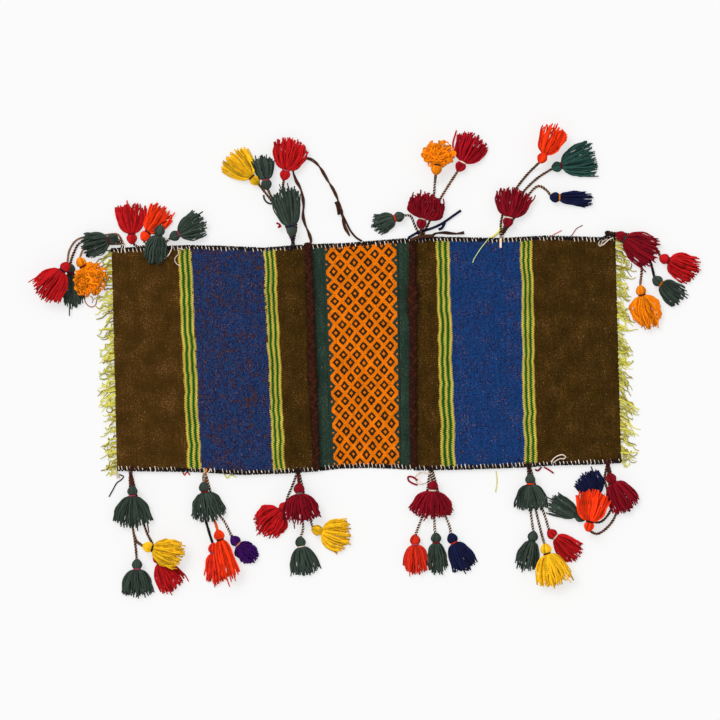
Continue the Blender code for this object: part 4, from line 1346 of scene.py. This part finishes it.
def make_fringe(side, cloth):
    """The curly yellow-green yarns along the folded end of a pouch."""
    word = WORDS[side]
    rng = np.random.default_rng(31 + side)
    count = cloth.fringe_yarns
    box_low, box_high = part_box(f"{word}_fringe")
    reach = box_high.x - box_low.x
    stations = 20
    t = np.linspace(0, 1, stations)[None]
    root_y = np.linspace(-1, 1, count) * (HALF_WIDTH - 0.004) + (rng.random(count) - 0.5) * 0.006
    tufts = cloth.fringe_tufts
    tuft = np.clip(((root_y / HALF_WIDTH + 1) / 2 * tufts).astype(int), 0, tufts - 1)
    tuft_long = 0.70 + 0.34 * rng.random(tufts)
    tuft_lean = -0.014 + 0.026 * (rng.random(tufts) - 0.5)
    long = reach * tuft_long[tuft] * (0.48 + 0.86 * rng.random(count) ** 1.1)
    drift = tuft_lean[tuft] + (rng.random(count) - 0.5) * 0.014
    swing = 0.0014 + 0.0040 * rng.random(count) ** 2
    cycles = 0.7 + 1.8 * rng.random(count)
    phase = rng.random(count) * 2 * math.pi
    grow = smooth_step(t * 1.6)
    turn = 2 * math.pi * cycles[:, None] * t + phase[:, None]
    hook = (rng.random(count) < 0.4)[:, None] * smooth_step((t - 0.6) / 0.4) * 0.008
    x = side * (HALF_LENGTH - FRINGE_ROOT + long[:, None] * t - hook
                + 0.8 * swing[:, None] * np.cos(turn) * grow)
    y = root_y[:, None] + drift[:, None] * t ** 1.8 + swing[:, None] * np.sin(turn) * grow
    y = y + hook * np.sin(phase)[:, None]
    root_z = 0.0035 + 0.0050 * rng.random(count)
    lie_z = 0.0012 + 0.0030 * rng.random(count)
    z = root_z[:, None] + (lie_z - root_z)[:, None] * smooth_step(t * 1.6)
    z = z + 0.0007 * np.cos(turn * 1.3) * grow
    z = np.maximum(z, cloth.fringe_radius * 1.2)
    radius = cloth.fringe_radius * (1 - 0.45 * t ** 3) * (0.8 + 0.4 * rng.random((count, 1)))
    yarns = YarnMesh()
    ways = np.stack((x, y, z), axis=-1)
    tuft_full = TUFT_LEAST + (1 - TUFT_LEAST) * rng.random(tufts) ** 0.5
    kept = rng.random(count) < tuft_full[tuft]
    dark = rng.random(count) < OLIVE_SHARE
    yarns.add(ways[kept & ~dark], radius[kept & ~dark], "lime", rng, sides=5)
    yarns.add(ways[kept & dark], radius[kept & dark], "olive", rng, sides=5)
    fringe = yarns.build(f"{word}_fringe_yarn")
    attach(fringe, f"{word}_pouch")
    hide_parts(f"{word}_fringe")


# Cords and tassels

def plied(yarns, way, radius, pitch, dyes, rng):
    """Two plies wound round each other along a way."""
    fine = resampled(way, min(radius * 1.3, pitch / 7))
    along = way_lengths(fine)
    _, across, over = frames_along(fine[None])
    for k, colour in enumerate(dyes):
        turn = (2 * math.pi * along / pitch + k * 2 * math.pi / len(dyes))[:, None]
        light = colour in ("cream", "tan", "pink") and dyes[0] != dyes[-1]
        ply = fine + radius * (across[0] * np.cos(turn) + over[0] * np.sin(turn))
        ply[:, 2] = np.maximum(ply[:, 2], radius * 1.34)
        uneven = 1 + 0.10 * np.sin(along * 310 + k) + 0.08 * np.sin(along * 97 + 2 * k)
        yarns.add(ply, (radius * (0.74 if light else 1.12) * uneven)[None], colour, rng, sides=6)
    return fine


def knot_of(place):
    """Where a cluster's knot stands, and which long edge it belongs to."""
    knot = np.array(JOINTS[f"{place}_swing"]["pos_m"])
    return knot, math.copysign(1.0, knot[1])


def cord_way(place, slot, way_pixels, entry, end_base):
    """A cord's line from its cluster's knot, along the floor and up into a tassel's head."""
    knot, edge = knot_of(place)
    flat = [bag_place(pixel) for pixel in way_pixels[:-1]] + [entry]
    if slot != "branch":
        fan = slot * CORD_FAN
        flat.insert(0, knot[:2] + np.array((math.sin(fan), edge * math.cos(fan))) * CORD_RADIUS)
    way = smooth_way(flat, 8)
    to_go = way_lengths(way)[-1] - way_lengths(way)
    height = CORD_RADIUS + end_base * smooth_step(1 - to_go / RISE_RUN)
    return with_height(way, height)


def tassel_axes(along):
    """The heading of a tassel, its left and its up, as directions."""
    return (np.array((*along, 0.0)), np.array((-along[1], along[0], 0.0)),
            np.array((0.0, 0.0, 1.0)))


def add_head(yarns, centre, along, sizes, colour, rng):
    """A head of yarns folded over from its top to the neck."""
    direction, side, up = tassel_axes(along)
    radius = HEAD_RADIUS * (0.99 + 0.08 * rng.random())
    share = np.linspace(-0.93, 0.93, 9)
    crown = np.maximum(0.0, -share)
    core = centre + direction * (share * radius * (1 + 0.16 * crown))[:, None]
    core_radius = radius * 0.86 * np.sqrt(1 - share ** 2 * 0.93) * (1 - 0.22 * crown)
    yarns.add(core, core_radius[None], colour, rng, sides=10)
    count = sizes.head_yarns
    turns = np.linspace(0, 2 * math.pi, count, endpoint=False) + rng.random() * 2
    angle = np.linspace(math.radians(168), math.radians(38), 8)
    thick = math.pi * radius / count
    held = radius - thick * 0.75
    twist = turns[:, None] + np.linspace(0, 0.35, 8)[None]
    crown = np.maximum(0.0, -np.cos(angle))
    reach = np.cos(angle) * held * (1.02 + 0.20 * crown)
    girth = np.sin(angle) * held * (1 - 0.22 * crown)
    outward = side * np.cos(twist)[..., None] + up * np.sin(twist)[..., None]
    ways = centre + direction * reach[None, :, None] + outward * girth[None, :, None]
    uneven = np.sin(angle)[None] ** 0.6 * (0.90 + 0.2 * rng.random((count, 1)))
    ways[..., 2] = np.maximum(ways[..., 2], centre[2] - HEAD_RADIUS + thick * uneven)
    yarns.add(ways, thick * uneven, colour, rng, sides=6)


def add_binding(yarns, neck, along, sizes, colour, rng):
    """Thread wound round a neck."""
    direction, side, up = tassel_axes(along)
    turns = sizes.binding_turns
    t = np.linspace(0, 1, 20 * turns)
    turn = 2 * math.pi * turns * t
    reach = NECK_RADIUS * (1.04 + 0.05 * np.sin(turn * 0.7))
    advance = (t - 0.5) * sizes.thread_radius * 2 * turns * 0.8
    way = (neck + direction * advance[:, None]
           + (side * np.cos(turn)[:, None] + up * np.sin(turn)[:, None]) * reach[:, None])
    yarns.add(way, sizes.thread_radius, colour, rng, sides=6)


def add_skirt(yarns, neck, along, base, width, reach, curl, sizes, colour, rng):
    """A skirt of yarns that spread from the neck and lie down on what is below them."""
    direction, side, _ = tassel_axes(along)
    count = max(24, int(sizes.skirt_yarns * width / COMMON_SKIRT))
    t = np.linspace(0, 1, 9)[None]
    fan = ((np.arange(count) + rng.random(count)) / count * 2 - 1)[:, None]
    roundness = 0.10 + 0.16 * rng.random() + 0.10 * curl
    layer = rng.random((count, 1))
    dome = np.sqrt(np.maximum(0.05, 1 - 0.75 * fan ** 2))
    stray = (rng.random((count, 1)) < STRAY_SHARE) * rng.normal(0, 1.5, (count, 1))
    spread = t ** (sizes.skirt_spread * (0.85 + 0.3 * rng.random()))
    closing = 0.07 + 0.30 * smooth_step((curl - 0.45) / 0.25)
    spread = spread * (1 - closing * smooth_step((t - 0.5) / 0.5))
    half = width / 2 - sizes.yarn_radius
    sideways = NECK_RADIUS * 0.8 * fan * (1 - spread) + half * (fan + 0.10 * stray) * spread
    long = reach * (0.88 + 0.18 * rng.random((count, 1)) + 0.06 * abs(stray))
    phase = rng.random((count, 1)) * 2 * math.pi
    turn = 2 * math.pi * (0.6 + (0.8 + 1.8 * curl) * rng.random((count, 1))) * t + phase
    sway = (0.0010 + 0.0034 * curl) * t
    sideways = sideways + sway * np.sin(turn)
    forward = long * t * (1 - roundness * fan ** 2) + 0.5 * sway * np.cos(turn * 0.9)
    forward = forward - 0.10 * reach * fan ** 2 * np.sin(math.pi * t)
    thick = SKIRT_THICKNESS - 2 * sizes.yarn_radius
    start = HEAD_RADIUS + NECK_RADIUS * 0.75 * (2 * layer - 1) * dome
    middle = sizes.yarn_radius + thick * layer * dome
    height = start + (middle - start) * smooth_step(t / 0.4)
    height = height - (0.45 * thick * layer * dome) * smooth_step((t - 0.4) / 0.6)
    height = np.clip(height + 0.6 * sway * np.cos(turn), sizes.yarn_radius * 1.15, None)
    ways = neck * np.array((1, 1, 0)) + direction * forward[..., None] + side * sideways[..., None]
    ways[..., 2] = base + height
    radius = sizes.yarn_radius * (0.8 + 0.35 * rng.random((count, 1))) * (1 - 0.25 * t ** 6)
    yarns.add(ways, radius, colour, rng, sides=6)


def add_pompom(yarns, neck, along, base, width, reach, sizes, colour, rng):
    """A skirt seen from its end: yarns that spring from the neck and curl in a tangled ball."""
    direction, side, _ = tassel_axes(along)
    count = int(sizes.skirt_yarns * POMPOM_YARNS)
    t = np.linspace(0, 1, 16)[None]
    middle = neck * np.array((1, 1, 0)) + direction * reach * 0.47
    spin = (np.arange(count)[:, None] + rng.random((count, 1))) * 2 * math.pi * GOLDEN_TURN
    deep = np.sqrt((np.arange(count)[:, None] + rng.random((count, 1))) / count) * 0.90
    target_side = np.cos(spin) * deep * width / 2
    target_along = np.sin(spin) * deep * (width + reach) / 4
    loop = 0.0028 + 0.0030 * rng.random((count, 1))
    turn = 2 * math.pi * (1.1 + 0.9 * rng.random((count, 1))) * t + rng.random((count, 1)) * 6
    ease = smooth_step(t * 1.3)
    grow = smooth_step(t * 2)
    sideways = target_side * ease + loop * np.cos(turn) * grow
    forward = (-reach * 0.5) * (1 - ease) + target_along * ease + loop * np.sin(turn) * grow
    dome = np.sqrt(np.maximum(0.0, 1 - deep ** 2))
    top = sizes.yarn_radius + (SKIRT_THICKNESS - sizes.yarn_radius) * (0.25 + 0.75 * dome)
    lift = top * (0.30 + 0.70 * rng.random((count, 1)))
    height = HEAD_RADIUS + (lift - HEAD_RADIUS) * ease + 0.4 * loop * np.sin(turn * 0.8) * grow
    ways = middle + direction * forward[..., None] + side * sideways[..., None]
    ways[..., 2] = base + np.clip(height, sizes.yarn_radius * 1.15, SKIRT_THICKNESS + 0.004)
    radius = sizes.yarn_radius * (0.90 + 0.25 * rng.random((count, 1))) * np.ones_like(t)
    yarns.add(ways, radius, colour, rng, sides=6)


def add_stem(yarns, knot, entry, end_height, sizes, dyes, rng):
    """The short stem from a seam knot to the head of the upper tassel."""
    t = np.linspace(0, 1, 9)[:, None]
    flat = knot[:2] + (entry - knot[:2]) * t
    start = knot[2]
    height = start + (end_height - start) * smooth_step(t[:, 0])
    plied(yarns, with_height(flat, height), sizes.ply_radius, sizes.ply_pitch, dyes, rng)


def make_tassel(place, row, sizes):
    """One tassel and the cord or stem that holds it."""
    part, colour, level, slot, way_pixels, heading, width, reach, binding, dyes, curl = row
    name = f"{place}_{part}"
    rng = np.random.default_rng(name_seed(name))
    knot, _ = knot_of(place)
    along = unit(heading)
    head = bag_place(way_pixels[-1])
    base = LEVELS[level]
    centre = np.array((*head, base + HEAD_RADIUS))
    direction = np.array((*along, 0.0))
    neck = centre + direction * HEAD_RADIUS
    yarns = YarnMesh()
    add_head(yarns, centre, along, sizes, colour, rng)
    if curl < 1:
        add_skirt(yarns, neck, along, base, width * PIXEL, reach * PIXEL, curl, sizes, colour, rng)
    else:
        add_pompom(yarns, neck, along, base, width * PIXEL, reach * PIXEL, sizes, colour, rng)
    add_binding(yarns, neck - direction * BINDING_SETBACK, along, sizes, binding, rng)
    inner = head - along * HEAD_RADIUS * HEAD_ENTRY
    if slot == "stem":
        add_stem(yarns, knot, inner, base + HEAD_RADIUS, sizes, dyes, rng)
    elif slot == "bare":
        stub = with_height(np.array((inner - along * 2 * CORD_RADIUS, inner)), base + HEAD_RADIUS)
        plied(yarns, stub, sizes.ply_radius, sizes.ply_pitch, dyes, rng)
    tassel = yarns.build(f"{name}_wool")
    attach(tassel, place)
    if part != "branch_tassel":
        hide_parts(name)
    if slot not in ("stem", "bare"):
        way = cord_way(place, slot, way_pixels, inner, base + HEAD_RADIUS - CORD_RADIUS)
        make_cord(f"{name}_cord", place, way, dyes, sizes, rng)


def make_cord(name, body, way, dyes, sizes, rng):
    """A free plied cord."""
    yarns = YarnMesh()
    fine = plied(yarns, way, sizes.ply_radius, sizes.ply_pitch, dyes, rng)
    cord = yarns.build(name)
    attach(cord, body)


def make_knot(place, dyes):
    """The yarns wound where a cluster is tied to the seam, and their ties through the edge."""
    knot, edge = knot_of(place)
    rng = np.random.default_rng(name_seed(place))
    yarns = YarnMesh()
    t = np.linspace(0, 1, 90)
    for k, colour in enumerate(dyes):
        turn = 2 * math.pi * KNOT_TURNS * t + k
        tilt = math.pi * (0.5 + 0.46 * np.sin(2 * math.pi * t * 1.5 + k))
        wound = knot + np.column_stack((
            np.sin(tilt) * np.cos(turn), np.cos(tilt), np.sin(tilt) * np.sin(turn))) * KNOT_RADIUS
        wound[:, 2] = np.maximum(wound[:, 2], 0.0013)
        yarns.add(wound, KNOT_YARN, colour, rng, sides=5)
    ties = YarnMesh()
    edge_x, edge_y = edge_point(knot[0], edge)
    top = POUCH_HEIGHT + 0.0008
    for k in range(TIE_COUNT):
        shift = (k - (TIE_COUNT - 1) / 2) * TIE_PITCH
        inner = (edge_x + shift * 1.4, edge_y - edge * (0.007 + 0.003 * rng.random()), top - 0.001)
        points = [inner, (edge_x + shift, edge_y - edge * 0.002, top + 0.0016),
                  (knot[0] + shift * 0.8, edge_y + edge * 0.003, top - 0.001),
                  (knot[0] + shift * 0.4, knot[1], knot[2] + 0.002)]
        ties.add(smooth_way(points, 4), TIE_YARN, dyes[k % len(dyes)], rng, sides=5)
    wool = yarns.build(f"{place}_knot_wool")
    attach(wool, place)
    body = "left_pouch" if knot[0] < 0 else "right_pouch"
    tied = ties.build(f"{place}_tie_wool")
    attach(tied, body)


def make_closing_cord(word, body, x, way):
    """A doubled brown cord that ties a mouth shut, lying loose beside the top seam."""
    rng = np.random.default_rng(name_seed(word))
    seam = np.array((x, HALF_WIDTH + SEAT_GAP + CORD_RADIUS))
    lay_cos, lay_sin = math.cos(LAY_TURN), math.sin(LAY_TURN)
    flat = [seam + (px * lay_cos + py * lay_sin, py * lay_cos - px * lay_sin) for px, py in way]
    edge_x, edge_y = edge_point(x, 1)
    points = [(edge_x, edge_y - 0.001, POUCH_HEIGHT / 2), (x, seam[1], CORD_RADIUS * 1.5)]
    points += [(*place, CORD_RADIUS) for place in flat]
    line = smooth_way(points, 8)
    yarns = YarnMesh()
    fine = plied(yarns, line, CORD_RADIUS * CLOSING_STRAND, CLOSING_PITCH, ("brown", "brown"), rng)
    cord = yarns.build(f"{word}_closing_cord_wool")
    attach(cord, body)
    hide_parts(f"{word}_closing_cord")


def make_loose_yarns():
    """Stray yarns that lie beside the seams and on the cloth."""
    bodies = {}
    rng = np.random.default_rng(77)
    for colour, thick, level, body, pixels in LOOSE_YARN_PIXELS:
        radius = thick * PIXEL / 2
        flat = [bag_place(pixel) for pixel in pixels]
        height = LEVELS[level] + radius
        way = with_height(smooth_way(flat, 6), height + 0.0002)
        yarns = bodies.setdefault(body, YarnMesh())
        yarns.add(way, radius, colour, rng, sides=6)
    for body, yarns in bodies.items():
        loose = yarns.build(f"{body}_loose_yarn")
        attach(loose, body)


# The stage

def make_stage(stage):
    """The camera straight above, a pale floor and soft light."""
    scene = bpy.context.scene
    target = bag_place((PICTURE_PIXELS / 2, PICTURE_PIXELS / 2))
    lens = bpy.data.cameras.new("camera")
    lens.sensor_width = SENSOR
    lens.sensor_height = SENSOR
    lens.sensor_fit = "HORIZONTAL"
    lens.lens = lens.sensor_width * stage.camera_height / (PICTURE_PIXELS * PIXEL)
    lens.clip_end = SIGHT
    camera = linked("camera", lens)
    camera.location = (target[0], target[1], stage.camera_height)
    camera.rotation_euler = (0.0, 0.0, -LAY_TURN)
    scene.camera = camera
    size = stage.floor_size / 2
    floor_mesh = bpy.data.meshes.new("floor")
    floor_mesh.from_pydata([(-size, -size, 0), (size, -size, 0), (size, size, 0), (-size, size, 0)],
                           [], [(0, 1, 2, 3)])
    floor = linked("floor", floor_mesh)
    floor.location = (0.0, 0.0, -SEAT_GAP)
    floor_mesh.materials.append(floor_material())
    sun = bpy.data.lights.new("sun", "SUN")
    sun.energy = stage.sun_strength
    sun.angle = stage.sun_angle
    lamp = linked("sun", sun)
    lamp.rotation_euler = (*SUN_TURNS, 0.0)
    world_light(scene, stage.world_strength)
    scene.view_settings.view_transform = "Standard"


def seen_straight(tree):
    """One for rays that see a surface straight, in a mirror or through glass."""
    path = tree.nodes.new("ShaderNodeLightPath")
    first = tree.nodes.new("ShaderNodeMath")
    first.operation = "MAXIMUM"
    second = tree.nodes.new("ShaderNodeMath")
    second.operation = "MAXIMUM"
    tree.links.new(path.outputs["Is Camera Ray"], first.inputs[0])
    tree.links.new(path.outputs["Is Glossy Ray"], first.inputs[1])
    tree.links.new(first.outputs[0], second.inputs[0])
    tree.links.new(path.outputs["Is Transmission Ray"], second.inputs[1])
    return second.outputs[0]


def floor_material():
    """A pale matt floor that looks nearly white and keeps the object's shadow."""
    made = bpy.data.materials.new("pale_floor")
    made.use_nodes = True
    tree = made.node_tree
    shader = tree.nodes["Principled BSDF"]
    shader.inputs["Base Color"].default_value = (FLOOR_GREY, FLOOR_GREY, FLOOR_GREY, 1.0)
    shader.inputs["Roughness"].default_value = 1.0
    shader.inputs["Specular IOR Level"].default_value = 0.0
    glow = tree.nodes.new("ShaderNodeEmission")
    glow.inputs["Strength"].default_value = 1.0
    share = tree.nodes.new("ShaderNodeMath")
    share.operation = "MULTIPLY"
    share.inputs[1].default_value = FLOOR_WHITE
    tree.links.new(seen_straight(tree), share.inputs[0])
    mix = tree.nodes.new("ShaderNodeMixShader")
    tree.links.new(share.outputs[0], mix.inputs[0])
    tree.links.new(shader.outputs[0], mix.inputs[1])
    tree.links.new(glow.outputs[0], mix.inputs[2])
    tree.links.new(mix.outputs[0], tree.nodes["Material Output"].inputs["Surface"])
    return made


def world_light(scene, strength):
    """Even light all round, white where it is seen straight."""
    world = bpy.data.worlds.new("studio")
    world.use_nodes = True
    tree = world.node_tree
    light = tree.nodes["Background"]
    light.inputs["Color"].default_value = (1.0, 1.0, 1.0, 1.0)
    light.inputs["Strength"].default_value = strength
    white = tree.nodes.new("ShaderNodeBackground")
    white.inputs["Color"].default_value = (1.0, 1.0, 1.0, 1.0)
    white.inputs["Strength"].default_value = 1.0
    mix = tree.nodes.new("ShaderNodeMixShader")
    tree.links.new(seen_straight(tree), mix.inputs[0])
    tree.links.new(light.outputs[0], mix.inputs[1])
    tree.links.new(white.outputs[0], mix.inputs[2])
    tree.links.new(mix.outputs[0], tree.nodes["World Output"].inputs["Surface"])
    scene.world = world


# Operators, one for each group of pieces

class SADDLEBAG_OT_bridge(bpy.types.Operator):
    """Weave the brocaded bridge between the pouches"""

    bl_idname = "saddlebag.bridge"
    bl_label = "Bridge cloth"

    def execute(self, context):
        make_bridge(context.scene.saddlebag_cloth)
        return {"FINISHED"}


class SADDLEBAG_OT_pouches(bpy.types.Operator):
    """Weave the two folded pouches"""

    bl_idname = "saddlebag.pouches"
    bl_label = "Pouches"

    def execute(self, context):
        for side in (-1, 1):
            make_pouch(side, context.scene.saddlebag_cloth)
        return {"FINISHED"}


class SADDLEBAG_OT_seams(bpy.types.Operator):
    """Overcast the long edges in black and cream"""

    bl_idname = "saddlebag.seams"
    bl_label = "Overcast seams"

    def execute(self, context):
        cloth = context.scene.saddlebag_cloth
        bridge_top = cloth.underside + cloth.thickness + 0.0006
        for edge, word in ((1, "top"), (-1, "bottom")):
            make_overcast(f"bridge_stitches_{word}", "bridge", edge, FOLD_X[-1], FOLD_X[1],
                          bridge_top, cloth)
            for side in (-1, 1):
                fold, end = sorted((FOLD_X[side] + side * BRAID_SETBACK, side * HALF_LENGTH))
                top = POUCH_HEIGHT - cloth.wave - 0.0013
                make_overcast(f"{WORDS[side]}_stitches_{word}", f"{WORDS[side]}_pouch", edge,
                              fold, end, top, cloth, f"{WORDS[side]}_seam_{word}")
        return {"FINISHED"}


class SADDLEBAG_OT_braids(bpy.types.Operator):
    """Braid the dark wool along the two mouths"""

    bl_idname = "saddlebag.braids"
    bl_label = "Mouth braids"

    def execute(self, context):
        for side in (-1, 1):
            make_braid(side, context.scene.saddlebag_cloth)
        return {"FINISHED"}


class SADDLEBAG_OT_fringes(bpy.types.Operator):
    """Knot the curly fringes on the folded ends"""

    bl_idname = "saddlebag.fringes"
    bl_label = "End fringes"

    def execute(self, context):
        for side in (-1, 1):
            make_fringe(side, context.scene.saddlebag_cloth)
        return {"FINISHED"}


class SADDLEBAG_OT_tassels(bpy.types.Operator):
    """Tie every cluster of tassels"""

    bl_idname = "saddlebag.tassels"
    bl_label = "Tassel clusters"

    def execute(self, context):
        sizes = context.scene.saddlebag_tassels
        for place, (ties, rows) in CLUSTER_PIXELS.items():
            make_knot(place, ties)
            for row in rows:
                make_tassel(place, row, sizes)
        make_tassel(BRANCH_PLACE, BRANCH_PIXELS, sizes)
        return {"FINISHED"}


class SADDLEBAG_OT_closing_cords(bpy.types.Operator):
    """Lay the brown cords that tie the mouths shut"""

    bl_idname = "saddlebag.closing_cords"
    bl_label = "Closing cords"

    def execute(self, context):
        make_closing_cord("left", "top_3", LEFT_CLOSING_X, LEFT_CLOSING_WAY)
        make_closing_cord("right", "right_pouch", RIGHT_CLOSING_X, RIGHT_CLOSING_WAY)
        return {"FINISHED"}


class SADDLEBAG_OT_loose_yarns(bpy.types.Operator):
    """Lay the stray yarns"""

    bl_idname = "saddlebag.loose_yarns"
    bl_label = "Loose yarns"

    def execute(self, context):
        make_loose_yarns()
        return {"FINISHED"}


class SADDLEBAG_OT_stage(bpy.types.Operator):
    """Set up the floor, the light and the camera"""

    bl_idname = "saddlebag.stage"
    bl_label = "Stage"

    def execute(self, context):
        make_stage(context.scene.saddlebag_stage)
        return {"FINISHED"}


OPERATORS = (
    SADDLEBAG_OT_stage,
    SADDLEBAG_OT_closing_cords,
    SADDLEBAG_OT_bridge,
    SADDLEBAG_OT_pouches,
    SADDLEBAG_OT_seams,
    SADDLEBAG_OT_braids,
    SADDLEBAG_OT_fringes,
    SADDLEBAG_OT_tassels,
    SADDLEBAG_OT_loose_yarns,
)
SETTINGS = {
    "saddlebag_dyes": SaddlebagDyes,
    "saddlebag_cloth": SaddlebagCloth,
    "saddlebag_tassels": SaddlebagTassels,
    "saddlebag_stage": SaddlebagStage,
}


class SADDLEBAG_PT_panel(bpy.types.Panel):
    """Lists the steps that dress the saddlebag"""

    bl_idname = "SADDLEBAG_PT_panel"
    bl_label = "Saddlebag"
    bl_space_type = "VIEW_3D"
    bl_region_type = "UI"
    bl_category = "Saddlebag"

    def draw(self, context):
        for operator in OPERATORS:
            self.layout.operator(operator.bl_idname)


def register():
    """Register the settings, the operators and the panel."""
    for group in SETTINGS.values():
        bpy.utils.register_class(group)
    for name, group in SETTINGS.items():
        setattr(bpy.types.Scene, name, PointerProperty(type=group))
    for operator in OPERATORS:
        bpy.utils.register_class(operator)
    bpy.utils.register_class(SADDLEBAG_PT_panel)


def unregister():
    """Undo register."""
    bpy.utils.unregister_class(SADDLEBAG_PT_panel)
    for operator in reversed(OPERATORS):
        bpy.utils.unregister_class(operator)
    for name, group in SETTINGS.items():
        delattr(bpy.types.Scene, name)
        bpy.utils.unregister_class(group)


def main():
    """Dress the saddlebag."""
    register()
    for operator in OPERATORS:
        family, name = operator.bl_idname.split(".")
        getattr(getattr(bpy.ops, family), name)()


if __name__ == "__main__":
    main()
